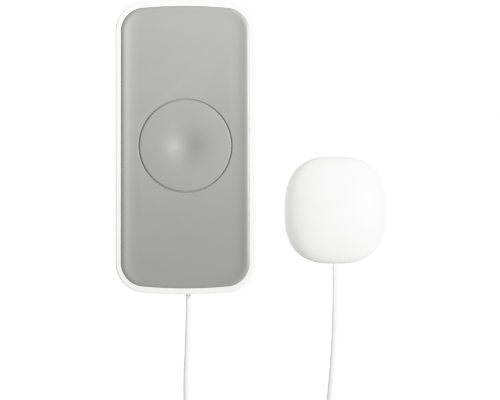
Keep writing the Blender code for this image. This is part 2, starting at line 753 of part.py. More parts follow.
def dome(inset, steps):
    """Rings of the pebble from its rear rim, over its widest line, to the pole at the front."""
    scale = 1 - inset / HEAD_HALF_X
    rise = HEAD_DOME - inset
    rings = []
    back_steps = 2
    for k in range(back_steps + 1):
        share = k / back_steps
        rim = HEAD_RIM_SCALE + (1 - HEAD_RIM_SCALE) * math.sin(share * math.pi / 2)
        rings.append(head_ring(rim * scale, rim * scale, HEAD_RIM + (HEAD_WIDEST - HEAD_RIM) * share))
    for k in range(1, steps):
        angle = math.pi / 2 * k / steps
        size = math.cos(angle) * scale
        rings.append(head_ring(size, size, HEAD_WIDEST - rise * math.sin(angle)))
    rings.append([(HEAD_X, HEAD_WIDEST - rise, HEAD_Z)])
    return rings


def head_cover():
    rings = list(reversed(dome(0, 7))) + dome(HEAD_WALL, 5)
    cover = loft("head_cover", rings, white_plastic())
    place = (HEAD_X, 0, HEAD_Z + HEAD_SCREW_RISE)
    join(cover, cylinder("guide_head_boss", POST_RADIUS, HEAD_BASE_FRONT - GAP, HEAD_BOSS_TOP, None, place))
    cut(cover, small_round("cut_head_boss", SHANK_HOLE, 0, HEAD_BOSS_HOLE, place))
    low, high = HEAD_EXIT - 3 * HEAD_WALL, HEAD_EXIT + 3 * HEAD_WALL
    place = (HEAD_X, HEAD_LEAD_Y, 0)
    cut(cover, cylinder("cut_head_grommet", GROMMET_NECK + GAP, low, high, None, place, "Z"))


def head_base():
    """The flat back, with four supports for the board, its screw, and the pad behind it."""
    edge_gap = 0.4 * MM
    scale = HEAD_RIM_SCALE * (1 - HEAD_WALL / HEAD_HALF_X) - edge_gap / HEAD_HALF_X
    rings = [head_ring(scale, scale, PLATE_BACK), head_ring(scale, scale, HEAD_BASE_FRONT)]
    base = loft("head_base", rings, white_plastic())
    root, top = HEAD_BASE_FRONT + 0.6 * MM, HEAD_BOARD_BACK + GAP
    for x in (-8 * MM, 8 * MM):
        for z in (-13 * MM, 7 * MM):
            name = f"guide_head_support_{round(x / MM)}_{round(z / MM)}"
            join(base, small_round(name, 1.5 * MM, root, top, (HEAD_X + x, 0, HEAD_Z + z)))
    screw_z = HEAD_Z + HEAD_SCREW_RISE
    place = (HEAD_X, 0, screw_z)
    cut(base, cylinder("cut_base_head", HEAD_HOLE, 0, PLATE_BACK - SCREW_HEAD_HEIGHT, None, place))
    cut(base, small_round("cut_base_shank", SHANK_HOLE, 0, 2 * HEAD_BASE_FRONT, place))
    screw("head_screw", HEAD_X, PLATE_BACK, screw_z, 7.0 * MM)
    loft("head_pad", [head_ring(*HEAD_PAD_SCALE, 0), head_ring(*HEAD_PAD_SCALE, PAD_FRONT)], foam())


def head_insides():
    z = HEAD_Z - HEAD_BOARD_DROP
    low = (HEAD_X - HEAD_BOARD_HALF_X, HEAD_BOARD_FRONT, z - HEAD_BOARD_HALF_Z)
    high = (HEAD_X + HEAD_BOARD_HALF_X, HEAD_BOARD_BACK, z + HEAD_BOARD_HALF_Z)
    box("head_board", low, high, board_green())
    base = HEAD_BOARD_FRONT - GAP
    low = (HEAD_X - 4 * MM, base - 3.6 * MM, z - 12.5 * MM)
    high = (HEAD_X + 4 * MM, base, z - 7 * MM)
    box("head_terminal", low, high, soft_rubber(), 0.3 * MM)
    reed_switch(HEAD_X + REED_OFFSET[0], REED_OFFSET[1], z + HEAD_BOARD_DROP + REED_OFFSET[2])


def reed_switch(x, y, z):
    """Two steel blades whose tips overlap inside a narrow glass tube."""
    outer = [(0.7 * MM, -REED_HALF), (1.1 * MM, -REED_HALF + 0.6 * MM), (1.25 * MM, -REED_HALF + 1.4 * MM)]
    outer += [(radius, -along) for radius, along in reversed(outer)]
    inner = [(0.62 * MM, REED_HALF), (0.9 * MM, REED_HALF - 1.4 * MM)]
    inner += [(radius, -along) for radius, along in reversed(inner)]
    rings = []
    for radius, along in outer + inner:
        rings.append(circle((x, y, z + along), (radius, 0, 0), (0, radius, 0), TINY_STEPS))
    closed_loft("reed_glass", rings, clear_glass())
    half_width, half_thick, overlap, reach, shift = 0.25 * MM, 0.1 * MM, 1.0 * MM, 8.5 * MM, 0.3 * MM
    for name, side in (("reed_blade_upper", 1), ("reed_blade_lower", -1)):
        bottom, top = sorted((z - side * overlap, z + side * reach))
        low = (x - half_width, y + side * shift - half_thick, bottom)
        high = (x + half_width, y + side * shift + half_thick, top)
        box(name, low, high, steel())


# ---------------------------------------------------------------- lead

def grommet(name, x, y, outside, collar):
    """A grommet in a bottom wall: a neck through the hole, and a collar inside."""
    top = collar + GROMMET_COLLAR_LENGTH
    profile = [
        (0, outside), (GROMMET_NECK, outside), (GROMMET_NECK, collar), (GROMMET_COLLAR, collar),
        (GROMMET_COLLAR, top - 0.6 * MM), (GROMMET_COLLAR - 0.5 * MM, top), (0, top),
    ]
    turned(name, profile, soft_rubber(), (x, y, 0), "Z")


def transmitter_tail():
    """The lead's end inside the transmitter, round the battery cradle to its terminal."""
    collar = BODY_BOTTOM + WALL + GAP
    grommet("transmitter_grommet", LEAD_X, LEAD_Y, TRANSMITTER_EXIT, collar)
    start = (collar + GROMMET_COLLAR_LENGTH + GAP) / MM
    route = [
        (1.3, -7.9, start), (1.9, -7.9, -62), (6, -7.9, -58.6), (14, -7.9, -57.8), (24, -7.9, -57.9),
        (29.0, -7.9, -55.2), (29.9, -7.9, -49), (29.7, -7.9, -43), (29.6, -8.1, -36), (29.6, -9.8, -28.5),
        (29.4, -12.4, -23), (28.2, -13.4, -19.2), (24.9, -13.4, -18.1),
    ]
    tube("transmitter_lead_tail", smooth_path(route, 34), TAIL_RADIUS, lead_jacket())


def head_tail():
    """The lead's other end, straight up inside the head to its terminal."""
    collar = HEAD_Z - HEAD_HALF_Z + HEAD_WALL + 1.1 * MM
    grommet("head_grommet", HEAD_X, HEAD_LEAD_Y, HEAD_EXIT, collar)
    start = (collar + GROMMET_COLLAR_LENGTH + GAP) / MM
    end = HEAD_Z / MM - 15.8
    route = [
        (71.8, -6.5, start), (71.8, -6.5, start + 1.2), (71.8, -7.6, (start + end) / 2),
        (71.8, -8.7, end - 0.8), (71.8, -8.7, end),
    ]
    tube("head_lead_tail", smooth_path(route, 9), TAIL_RADIUS, lead_jacket())


def free_lead():
    """The lead between the units: down from each, into a small tied coil that hangs between them."""
    route = [
        (1.3, -7.9, (TRANSMITTER_EXIT - GAP) / MM), (1.25, -7.9, -75), (1.05, -7.9, -82.5), (0.85, -7.9, -91),
        (0.5, -7.9, -101), (0.1, -7.9, -109.5), (0.0, -7.9, -118), (0.4, -7.9, -128), (1.9, -7.9, -138),
        (4.6, -7.8, -148), (8.2, -7.7, -158), (12.2, -7.6, -168), (16.0, -7.5, -178.5), (18.6, -7.5, -188),
    ]
    tube("lead_from_transmitter", smooth_path(route, 38), LEAD_RADIUS, lead_jacket())
    route = [
        (71.8, -6.5, (HEAD_EXIT - GAP) / MM), (71.8, -6.5, -62), (71.8, -6.5, -70), (71.7, -6.5, -78),
        (71.5, -6.5, -86), (71.1, -6.5, -95), (70.5, -6.5, -104), (69.8, -6.5, -113), (68.9, -6.5, -122),
        (67.4, -6.5, -132), (65.2, -6.6, -142), (62.4, -6.8, -152), (59.5, -7.0, -162), (56.9, -7.3, -172),
        (55.0, -7.5, -181), (54.2, -7.5, -188),
    ]
    tube("lead_to_head", smooth_path(route, 42), LEAD_RADIUS, lead_jacket())
    lead_coil()


def lead_coil():
    """The outer shape of the coiled turns, and the two ties that hold them."""
    centre = Vector(COIL_CENTRE)
    sides = 10
    rings = []
    for k in range(sides):
        angle = 2 * math.pi * k / sides
        radius = COIL_RADIUS + COIL_BUNDLE * math.cos(angle)
        middle = centre + Vector((0, COIL_BUNDLE * math.sin(angle), 0))
        rings.append(circle(middle, (radius, 0, 0), (0, 0, radius), 24))
    closed_loft("lead_coil", rings, lead_jacket())
    corners = ((TIE_INNER, -1), (TIE_OUTER, -1), (TIE_OUTER, 1), (TIE_INNER, 1))
    for name, side in (("coil_tie_left", -1), ("coil_tie_right", 1)):
        middle = centre + Vector((side * COIL_RADIUS, 0, 0))
        rings = []
        for radius, end in corners:
            level = middle + Vector((0, 0, end * TIE_HALF_HEIGHT))
            rings.append(circle(level, (radius, 0, 0), (0, radius, 0), 20))
        closed_loft(name, rings, dark_plastic())


def main():
    clear_scene()
    rear_housing()
    battery_door()
    front_frame()
    front_panel()
    function_button()
    main_board()
    board_components()
    switch()
    battery_cradle()
    battery_cells()
    housing_screws()
    wall_plate()
    head_cover()
    head_base()
    head_insides()
    transmitter_tail()
    head_tail()
    free_lead()


main()
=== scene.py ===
"""Looks of the door contact sensor: fine shells, materials, the free lead and soft studio light.

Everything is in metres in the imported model's frame: +Z up, the front looks along -Y, the wall is Y = 0.
Depths along Y are named as in the CAD, from the wall outwards, so they are negative.
"""
import math

import bmesh
import bpy
import numpy as np
from mathutils import Matrix, Vector


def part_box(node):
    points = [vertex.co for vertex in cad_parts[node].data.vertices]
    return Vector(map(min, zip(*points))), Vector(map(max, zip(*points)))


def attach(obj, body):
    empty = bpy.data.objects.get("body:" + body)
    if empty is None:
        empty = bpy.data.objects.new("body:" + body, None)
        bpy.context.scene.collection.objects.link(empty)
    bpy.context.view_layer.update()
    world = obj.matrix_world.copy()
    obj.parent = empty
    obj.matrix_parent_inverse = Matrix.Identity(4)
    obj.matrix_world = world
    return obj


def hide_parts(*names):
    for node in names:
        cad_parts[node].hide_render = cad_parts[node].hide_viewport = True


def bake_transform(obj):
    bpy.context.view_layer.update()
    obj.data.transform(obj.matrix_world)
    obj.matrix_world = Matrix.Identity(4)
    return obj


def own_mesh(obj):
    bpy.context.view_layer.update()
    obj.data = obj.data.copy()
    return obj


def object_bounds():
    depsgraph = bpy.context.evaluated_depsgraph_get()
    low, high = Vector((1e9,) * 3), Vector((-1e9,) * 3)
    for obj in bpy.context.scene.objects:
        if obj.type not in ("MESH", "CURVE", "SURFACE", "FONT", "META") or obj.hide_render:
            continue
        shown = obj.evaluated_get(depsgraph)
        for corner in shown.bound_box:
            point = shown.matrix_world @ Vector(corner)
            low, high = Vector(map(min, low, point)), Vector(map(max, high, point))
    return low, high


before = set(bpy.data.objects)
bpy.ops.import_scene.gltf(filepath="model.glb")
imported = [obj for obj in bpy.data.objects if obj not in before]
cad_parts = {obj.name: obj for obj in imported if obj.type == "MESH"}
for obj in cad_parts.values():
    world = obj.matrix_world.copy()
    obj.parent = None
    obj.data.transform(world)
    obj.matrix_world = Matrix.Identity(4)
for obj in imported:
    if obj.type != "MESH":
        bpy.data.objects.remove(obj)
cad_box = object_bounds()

MM = 0.001
GAP = 0.3 * MM
WALL_SIDE, TRANSMITTER, BUTTON, DOOR = "wall_side", "transmitter", "button", "battery_door"

# -------------------- sizes

frame_low, frame_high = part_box("front_frame")
rear_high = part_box("rear_housing")[1]
panel_low, panel_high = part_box("front_panel")
button_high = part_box("function_button")[1]
head_low, head_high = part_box("head_cover")
base_low, base_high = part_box("head_base")
plate_low, plate_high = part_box("wall_plate")
door_low, door_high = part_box("battery_door")

# Transmitter outline
BODY_HALF_X = frame_high[0]
BODY_HALF_Z = (frame_high[2] - frame_low[2]) / 2
BODY_CENTRE_Z = (frame_high[2] + frame_low[2]) / 2
BODY_CORNER = 12.6 * MM
PANEL_HALF_X = panel_high[0]
PANEL_HALF_Z = (panel_high[2] - panel_low[2]) / 2
PANEL_CORNER = 9.9 * MM
END_BOW = 2.15 * MM
WALL = 2.0 * MM

# Transmitter depths
HOUSING_BACK = rear_high[1]
HOUSING_FLOOR = -5.2 * MM
HOUSING_RIM = -10.7 * MM
BOARD_BACK = -10.6 * MM
FRAME_RIM = -11.0 * MM
LEDGE_BACK = -15.2 * MM
LEDGE_FRONT = -16.2 * MM
LEDGE_REACH = 2.9 * MM
LEDGE_SLOPE = 0.8 * MM
PANEL_BACK = panel_high[1]
FRAME_FRONT = frame_low[1]
PANEL_LIP = panel_low[1]
PANEL_FLAT = -18.2 * MM
BACK_ROUNDING = 2.5 * MM
FRAME_ROUNDING = 1.0 * MM
CHAMFER = 0.2 * MM

# Push button
BUTTON_RADIUS = 21.8 * MM
HOLE_RADIUS = 22.4 * MM
GROOVE_DEPTH = 0.62 * MM
FLANGE_RADIUS = button_high[0]
FLANGE_FRONT = PANEL_BACK + GAP
FLANGE_BACK = FLANGE_FRONT + 1.0 * MM
EDGE_ROUNDING = 0.35 * MM
DIMPLE_DEPTH = 2.3 * MM
DIMPLE_WIDTH = 5.4 * MM
CROWN = 0.2 * MM

# Board posts, battery bay and lead outlets inside the rear housing
POST_OVERLAP = 0.2 * MM
BOARD_POST_X = 22.0 * MM
STANDOFF_RADIUS, STANDOFF_HEIGHT = 2.2 * MM, 54.0 * MM
SUPPORT_RADIUS, SUPPORT_HEIGHT = 1.8 * MM, -14.0 * MM
BOARD_HOLE_BACK, BOARD_HOLE_FRONT = -6.5 * MM, -12.0 * MM
BAY_HALF_X = 22.9 * MM
BAY_BOTTOM, BAY_TOP = -52.5 * MM, -27.5 * MM
BELOW_BODY = -75.0 * MM
OUTLET_RADIUS = 2.0 * MM
OUTLET_TOP = -61.0 * MM
OUTLET_X, OUTLET_Y = 1.3 * MM, -7.9 * MM

# Wall plate, hooks and battery door
PLATE_HALF_X = plate_high[0]
PLATE_BOTTOM, PLATE_TOP = plate_low[2], plate_high[2]
PLATE_BACK = plate_high[1]
PLATE_FRONT = -2.9 * MM
PLATE_TRAVEL = 8.0 * MM
RECESS_FLOOR = PLATE_FRONT - 0.4 * MM
HOOK_X = 13.0 * MM
HOOK_HEIGHTS = (0.0, 36.0 * MM)
HOOK_HALF_HEIGHT = 4.0 * MM
HOOK_NECK = 1.2 * MM
HOOK_HEAD = 2.6 * MM
HOOK_HEAD_BACK = HOUSING_FLOOR - GAP
HOOK_HEAD_FRONT = plate_low[1]
DOOR_FRONT = door_low[1]
DOOR_TOP = door_high[2]
DOOR_HALF_X_OUTER = 23.8 * MM
DOOR_HALF_X_INNER = door_high[0]
DOOR_RIDGE_HEIGHTS = (-34.0 * MM, -37.0 * MM, -40.0 * MM)
RIDGE_HALF_X, RIDGE_HALF_HEIGHT, RIDGE_RISE = 8.0 * MM, 0.6 * MM, 0.4 * MM
RIDGE_ROOT = 0.8 * MM

# Screws and posts: corner, distance from the middle, height, back of the head, end of the post
SHANK_HOLE = 1.3 * MM
HEAD_HOLE = 2.2 * MM
SCREW_HEAD = 1.9 * MM
HEAD_SEAT = 1.3 * MM
HOLE_FRONT = -15.0 * MM
POST_RADIUS = 2.3 * MM
POST_FRONT = -15.8 * MM
LOWER_POST_END = -7.2 * MM
HOUSING_SCREWS = (
    ("upper", 28.0 * MM, 57.0 * MM, -2.3 * MM, HOUSING_FLOOR - GAP),
    ("lower", 14.0 * MM, -63.5 * MM, -3.9 * MM, LOWER_POST_END),
)

# Contact head
HEAD_X = (head_low[0] + head_high[0]) / 2
HEAD_Z = (head_low[2] + head_high[2]) / 2
HEAD_HALF_X = (head_high[0] - head_low[0]) / 2
HEAD_HALF_Z = (head_high[2] - head_low[2]) / 2
HEAD_SQUARENESS = 2.65
HEAD_RIM = head_high[1]
HEAD_WIDEST = -6.5 * MM
HEAD_DOME = HEAD_WIDEST - head_low[1]
HEAD_WALL = 1.8 * MM
HEAD_RIM_SCALE = 0.90
HEAD_BASE_FRONT = -3.1 * MM
HEAD_SCREW_RISE = 13.0 * MM
HEAD_BOSS_FRONT = -15.9 * MM
HEAD_HOLE_FRONT = -11.5 * MM

LEAD_RADIUS = 1.25 * MM

# -------------------- camera

VIEW_WIDTH = 239.0 * MM
VIEW_CENTRE = Vector((30.95 * MM, FRAME_FRONT, -26.0 * MM))
CAMERA_DISTANCE = 1.6
SENSOR = 36.0


def make_camera():
    """A long lens, straight in front."""
    data = bpy.data.cameras.new("camera")
    data.sensor_width = SENSOR
    data.lens = SENSOR * CAMERA_DISTANCE / VIEW_WIDTH
    data.clip_end = 50.0
    camera = add_object("camera", data)
    camera.location = VIEW_CENTRE - Vector((0, CAMERA_DISTANCE, 0))
    camera.rotation_euler = (math.pi / 2, 0, 0)
    bpy.context.scene.camera = camera


# -------------------- mesh tools

CORNERS = (1, 1), (-1, 1), (-1, -1), (1, -1)


def add_object(name, data):
    made = bpy.data.objects.new(name, data)
    bpy.context.scene.collection.objects.link(made)
    return made


def smooth(mesh, angle=30):
    mesh.shade_smooth()
    mesh.set_sharp_from_angle(angle=math.radians(angle))


def finish_mesh(name, bm, location=(0, 0, 0), angle=30):
    """Turn a bmesh into an object with its faces pointing out."""
    bmesh.ops.recalc_face_normals(bm, faces=bm.faces)
    mesh = bpy.data.meshes.new(name)
    bm.to_mesh(mesh)
    bm.free()
    smooth(mesh, angle)
    made = add_object(name, mesh)
    made.location = location
    return made


def loft(name, rings, location=(0, 0, 0), closed=False, angle=30):
    """A solid through rings of points, where a ring of one point is a pole.

    A closed loft joins its last ring to its first. Otherwise both ends are capped.
    """
    bm = bmesh.new()
    rows = [[bm.verts.new(p) for p in ring] for ring in rings]
    pairs = zip(rows, rows[1:] + rows[:1]) if closed else zip(rows, rows[1:])
    for near, far in pairs:
        count = max(len(near), len(far))
        for i in range(count):
            j = (i + 1) % count
            if len(near) == 1:
                bm.faces.new((near[0], far[i], far[j]))
            elif len(far) == 1:
                bm.faces.new((near[i], near[j], far[0]))
            else:
                bm.faces.new((near[i], near[j], far[j], far[i]))
    if not closed:
        for end in (rows[0], rows[-1]):
            if len(end) > 1:
                bm.faces.new(end)
    return finish_mesh(name, bm, location, angle)


def turned(name, profile, centre=(0, 0, 0), axis="Y", steps=96, closed=False):
    """A solid of revolution. The profile's points are (radius, distance along the axis)."""
    turn = {
        "X": Matrix.Rotation(math.pi / 2, 3, "Y"),
        "Y": Matrix.Rotation(-math.pi / 2, 3, "X"),
        "Z": Matrix.Identity(3),
    }[axis]
    rings = []
    for radius, along in profile:
        if radius == 0:
            rings.append([turn @ Vector((0, 0, along))])
            continue
        ring = []
        for angle in (2 * math.pi * k / steps for k in range(steps)):
            ring.append(turn @ Vector((radius * math.cos(angle), radius * math.sin(angle), along)))
        rings.append(ring)
    return loft(name, rings, centre, closed)


def cylinder(name, radius, start, end, centre=(0, 0, 0), axis="Y", steps=40):
    return turned(name, [(radius, start), (radius, end)], centre, axis, steps)


def box(name, low, high, bevel=0.0, segments=3):
    bm = bmesh.new()
    bmesh.ops.create_cube(bm, size=1.0)
    size = Vector(high) - Vector(low)
    bmesh.ops.transform(bm, matrix=Matrix.Diagonal((*size, 1.0)), verts=bm.verts)
    if bevel:
        bmesh.ops.bevel(bm, geom=bm.edges, offset=bevel, segments=segments, profile=0.5, affect="EDGES")
    return finish_mesh(name, bm, (Vector(low) + Vector(high)) / 2)


def bake_modifiers(target):
    bpy.context.view_layer.update()
    graph = bpy.context.evaluated_depsgraph_get()
    mesh = bpy.data.meshes.new_from_object(target.evaluated_get(graph))
    target.modifiers.clear()
    target.data = mesh


def combine(target, tools, operation):
    """Apply Booleans with the exact solver, one after the other, and remove their tools."""
    for tool in tools:
        step = target.modifiers.new("step", "BOOLEAN")
        step.operation = operation
        step.solver = "EXACT"
        step.object = tool
    bake_modifiers(target)
    for tool in tools:
        bpy.data.objects.remove(tool, do_unlink=True)
    smooth(target.data)


def cut(target, *tools):
    combine(target, tools, "DIFFERENCE")


def join(target, *tools):
    combine(target, tools, "UNION")


def quarter(radius, steps):
    """(inwards, outwards) offsets along a quarter-round edge, from its side to its face."""
    angles = [math.pi / 2 * k / steps for k in range(steps + 1)]
    return [(radius * (1 - math.cos(a)), radius * math.sin(a)) for a in angles]


def rounded_rectangle(half_x, bottom, top, corner, inset=0.0, steps=10):
    """Points (x, z) round a rounded rectangle that is centred on X = 0."""
    middle = (bottom + top) / 2
    flat_x, flat_z = half_x - corner, (top - bottom) / 2 - corner
    radius = corner - inset
    points = []
    for turn, (sx, sz) in enumerate(CORNERS):
        for k in range(steps + 1):
            angle = math.pi / 2 * (turn + k / steps)
            points.append((sx * flat_x + radius * math.cos(angle),
                           middle + sz * flat_z + radius * math.sin(angle)))
    return points


def slab(name, half_x, bottom, top, corner, back, front, edge):
    """A flat plate with round corners, and small round edges of its own at the back and front."""
    levels = []
    for inwards, outwards in reversed(quarter(edge, 4)):
        levels.append((inwards, back - edge + outwards))
    for inwards, outwards in quarter(edge, 4):
        levels.append((inwards, front + edge - outwards))
    rings = []
    for inset, y in levels:
        outline = rounded_rectangle(half_x, bottom, top, corner, inset)
        rings.append([(x, y, z) for x, z in outline])
    return loft(name, rings)


def rounded_outline(half_x, half_z, corner, inset, y):
    """Points round a rounded rectangle whose short ends bow out, shrunk by inset, at depth y."""
    half_x, half_z, corner = half_x - inset, half_z - inset, corner - inset
    corner_steps, side_steps, end_steps = 16, 24, 16
    flat_x, flat_z = half_x - corner, half_z - END_BOW - corner
    points = []
    for turn, (sx, sz) in enumerate(CORNERS):
        for k in range(corner_steps + 1):
            angle = math.pi / 2 * (turn + k / corner_steps)
            points.append((sx * flat_x + corner * math.cos(angle),
                           sz * flat_z + corner * math.sin(angle)))
        steps = end_steps if turn % 2 == 0 else side_steps
        for k in range(1, steps):
            slide = 1 - 2 * k / steps
            if turn % 2 == 0:
                points.append((sx * flat_x * slide, sz * (half_z - END_BOW)))
            else:
                points.append((sx * half_x, sz * flat_z * slide))
    bowed = []
    for x, z in points:
        rise = END_BOW * (1 - (x / half_x) ** 2) * z / (half_z - END_BOW)
        bowed.append((x, y, BODY_CENTRE_Z + z + rise))
    return bowed


def body_ring(inset, y):
    return rounded_outline(BODY_HALF_X, BODY_HALF_Z, BODY_CORNER, inset, y)


def panel_ring(inset, y):
    return rounded_outline(PANEL_HALF_X, PANEL_HALF_Z, PANEL_CORNER, inset, y)


def smooth_path(route, step):
    """Points about a step apart along a smooth curve through the route's own points."""
    knots = [Vector(p) for p in route]
    ends = [2 * knots[0] - knots[1], *knots, 2 * knots[-1] - knots[-2]]
    fine, parts = [], 24
    for a, b, c, d in zip(ends, ends[1:], ends[2:], ends[3:]):
        for k in range(parts):
            t = k / parts
            fine.append(0.5 * (2 * b + (c - a) * t + (2 * a - 5 * b + 4 * c - d) * t**2
                               + (3 * b - a - 3 * c + d) * t**3))
    fine.append(knots[-1])
    points, since = [fine[0]], 0.0
    for a, b in zip(fine, fine[1:]):
        since += (b - a).length
        if since >= step:
            points.append(b)
            since = 0.0
    points[-1] = fine[-1]
    return points


def tube(name, points, radius, sides=16):
    """A round rod swept along points, with flat ends."""
    points = [Vector(p) for p in points]
    normal = None
    rings = []
    for i, point in enumerate(points):
        tangent = (points[min(i + 1, len(points) - 1)] - points[max(i - 1, 0)]).normalized()
        normal = normal or tangent.orthogonal()
        normal = (normal - tangent * normal.dot(tangent)).normalized()
        side = tangent.cross(normal)
        turns = [2 * math.pi * k / sides for k in range(sides)]
        rings.append([point + (normal * math.cos(a) + side * math.sin(a)) * radius for a in turns])
    return loft(name, rings, angle=60)


# -------------------- materials

BARE_STEEL, TARNISHED_STEEL = (0.62, 0.62, 0.6), (0.5, 0.49, 0.46)


def principled(name, colour, roughness, metallic=0.0):
    made = bpy.data.materials.new(name)
    made.use_nodes = True
    nodes, links = made.node_tree.nodes, made.node_tree.links
    shader = nodes["Principled BSDF"]
    shader.inputs["Base Color"].default_value = (*colour, 1.0)
    shader.inputs["Roughness"].default_value = roughness
    shader.inputs["Metallic"].default_value = metallic
    return made, nodes, links, shader


def place_of(nodes):
    return nodes.new("ShaderNodeTexCoord").outputs["Object"]


def noise(nodes, links, place, scale, detail=3.0, roughness=0.5):
    made = nodes.new("ShaderNodeTexNoise")
    made.inputs["Scale"].default_value = scale
    made.inputs["Detail"].default_value = detail
    made.inputs["Roughness"].default_value = roughness
    links.new(place, made.inputs["Vector"])
    return made.outputs["Fac"]


def spread(nodes, links, source, low, high, from_low=0.3, from_high=0.7):
    """Map a signal's usual span to a span of numbers."""
    made = nodes.new("ShaderNodeMapRange")
    made.inputs["From Min"].default_value = from_low
    made.inputs["From Max"].default_value = from_high
    made.inputs["To Min"].default_value = low
    made.inputs["To Max"].default_value = high
    links.new(source, made.inputs["Value"])
    return made.outputs["Result"]


def tint(nodes, links, source, first, second):
    """Mix two colours by a signal from 0 to 1."""
    made = nodes.new("ShaderNodeMix")
    made.data_type = "RGBA"
    links.new(source, made.inputs[0])
    for socket, colour in ((made.inputs[6], first), (made.inputs[7], second)):
        if isinstance(colour, tuple):
            socket.default_value = (*colour, 1.0)
        else:
            links.new(colour, socket)
    return made.outputs[2]


def vary_colour(nodes, links, shader, source, first, second):
    links.new(tint(nodes, links, source, first, second), shader.inputs["Base Color"])


def vary_roughness(nodes, links, shader, source, low, high):
    links.new(spread(nodes, links, source, low, high), shader.inputs["Roughness"])


def bump(nodes, links, height, shader, distance):
    made = nodes.new("ShaderNodeBump")
    made.inputs["Distance"].default_value = distance
    made.inputs["Strength"].default_value = 1.0
    links.new(height, made.inputs["Height"])
    links.new(made.outputs["Normal"], shader.inputs["Normal"])


def moulded(name, colour, shade, rough, grain_scale, grain_depth):
    """Moulded plastic: faint clouds in its colour, an uneven sheen and a fine spark-eroded grain."""
    made, nodes, links, shader = principled(name, colour, sum(rough) / 2)
    place = place_of(nodes)
    clouds = spread(nodes, links, noise(nodes, links, place, 45.0, 2.0), 0.0, 1.0)
    vary_colour(nodes, links, shader, clouds, colour, shade)
    sheen = noise(nodes, links, place, 160.0, 4.0)
    vary_roughness(nodes, links, shader, sheen, *rough)
    bump(nodes, links, noise(nodes, links, place, grain_scale, 2.0, 0.6), shader, grain_depth)
    return made


def white_plastic():
    return moulded("white_plastic", (0.90, 0.90, 0.885), (0.885, 0.885, 0.868), (0.38, 0.46),
                   grain_scale=2600.0, grain_depth=0.000005)


def grey_plastic():
    return moulded("grey_plastic", (0.284, 0.284, 0.276), (0.275, 0.275, 0.267), (0.34, 0.42),
                   grain_scale=3200.0, grain_depth=0.000005)


def dark_plastic():
    return moulded("dark_plastic", (0.045, 0.045, 0.05), (0.06, 0.06, 0.065), (0.45, 0.6),
                   grain_scale=1800.0, grain_depth=0.00002)


def connector_plastic():
    return moulded("connector_plastic", (0.78, 0.78, 0.74), (0.70, 0.70, 0.66), (0.4, 0.5),
                   grain_scale=1500.0, grain_depth=0.00001)


def soft_rubber():
    return moulded("soft_rubber", (0.82, 0.82, 0.80), (0.76, 0.76, 0.74), (0.6, 0.75),
                   grain_scale=900.0, grain_depth=0.00003)


def foam():
    """Adhesive foam: open cells and a slightly yellowed skin."""
    made, nodes, links, shader = principled("foam", (0.75, 0.75, 0.72), 0.9)
    place = place_of(nodes)
    cells = nodes.new("ShaderNodeTexVoronoi")
    cells.inputs["Scale"].default_value = 1600.0
    links.new(place, cells.inputs["Vector"])
    stains = noise(nodes, links, place, 120.0)
    vary_colour(nodes, links, shader, stains, (0.78, 0.78, 0.75), (0.66, 0.66, 0.62))
    bump(nodes, links, cells.outputs["Distance"], shader, 0.00012)
    return made


def steel():
    """Plated steel with fine drawing marks and a little uneven tarnish."""
    made, nodes, links, shader = principled("steel", BARE_STEEL, 0.3, metallic=1.0)
    place = place_of(nodes)
    stains = noise(nodes, links, place, 220.0, 4.0)
    vary_colour(nodes, links, shader, stains, BARE_STEEL, TARNISHED_STEEL)
    marks = noise(nodes, links, place, 1400.0, 2.0)
    vary_roughness(nodes, links, shader, marks, 0.22, 0.4)
    bump(nodes, links, marks, shader, 0.00001)
    return made


def board_green():
    """Solder mask over copper traces, which show as a faint lighter relief."""
    made, nodes, links, shader = principled("board_green", (0.03, 0.16, 0.09), 0.35)
    place = place_of(nodes)
    turn = nodes.new("ShaderNodeMapping")
    turn.inputs["Rotation"].default_value = (math.pi / 2, 0, 0)
    links.new(place, turn.inputs["Vector"])
    traces = nodes.new("ShaderNodeTexBrick")
    traces.offset = 0.5
    traces.inputs["Color1"].default_value = (0, 0, 0, 1)
    traces.inputs["Color2"].default_value = (0.25, 0.25, 0.25, 1)
    traces.inputs["Mortar"].default_value = (1, 1, 1, 1)
    traces.inputs["Scale"].default_value = 260.0
    traces.inputs["Mortar Size"].default_value = 0.03
    traces.inputs["Brick Width"].default_value = 1.3
    links.new(turn.outputs["Vector"], traces.inputs["Vector"])
    vary_colour(nodes, links, shader, traces.outputs["Color"], (0.018, 0.12, 0.06), (0.05, 0.24, 0.13))
    bump(nodes, links, traces.outputs["Color"], shader, 0.00003)
    return made


def clear_glass():
    made, nodes, links, shader = principled("clear_glass", (0.85, 0.93, 0.87), 0.04)
    shader.inputs["Transmission Weight"].default_value = 1.0
    streaks = noise(nodes, links, place_of(nodes), 300.0)
    vary_roughness(nodes, links, shader, streaks, 0.02, 0.08)
    return made


def lead_jacket():
    """Soft vinyl with a faint grain."""
    made, nodes, links, shader = principled("lead_jacket", (0.92, 0.92, 0.905), 0.45)
    place = place_of(nodes)
    clouds = noise(nodes, links, place, 40.0)
    vary_colour(nodes, links, shader, clouds, (0.94, 0.94, 0.925), (0.90, 0.90, 0.885))
    sheen = noise(nodes, links, place, 200.0)
    vary_roughness(nodes, links, shader, sheen, 0.36, 0.5)
    bump(nodes, links, noise(nodes, links, place, 1500.0, 3.0), shader, 0.000004)
    return made


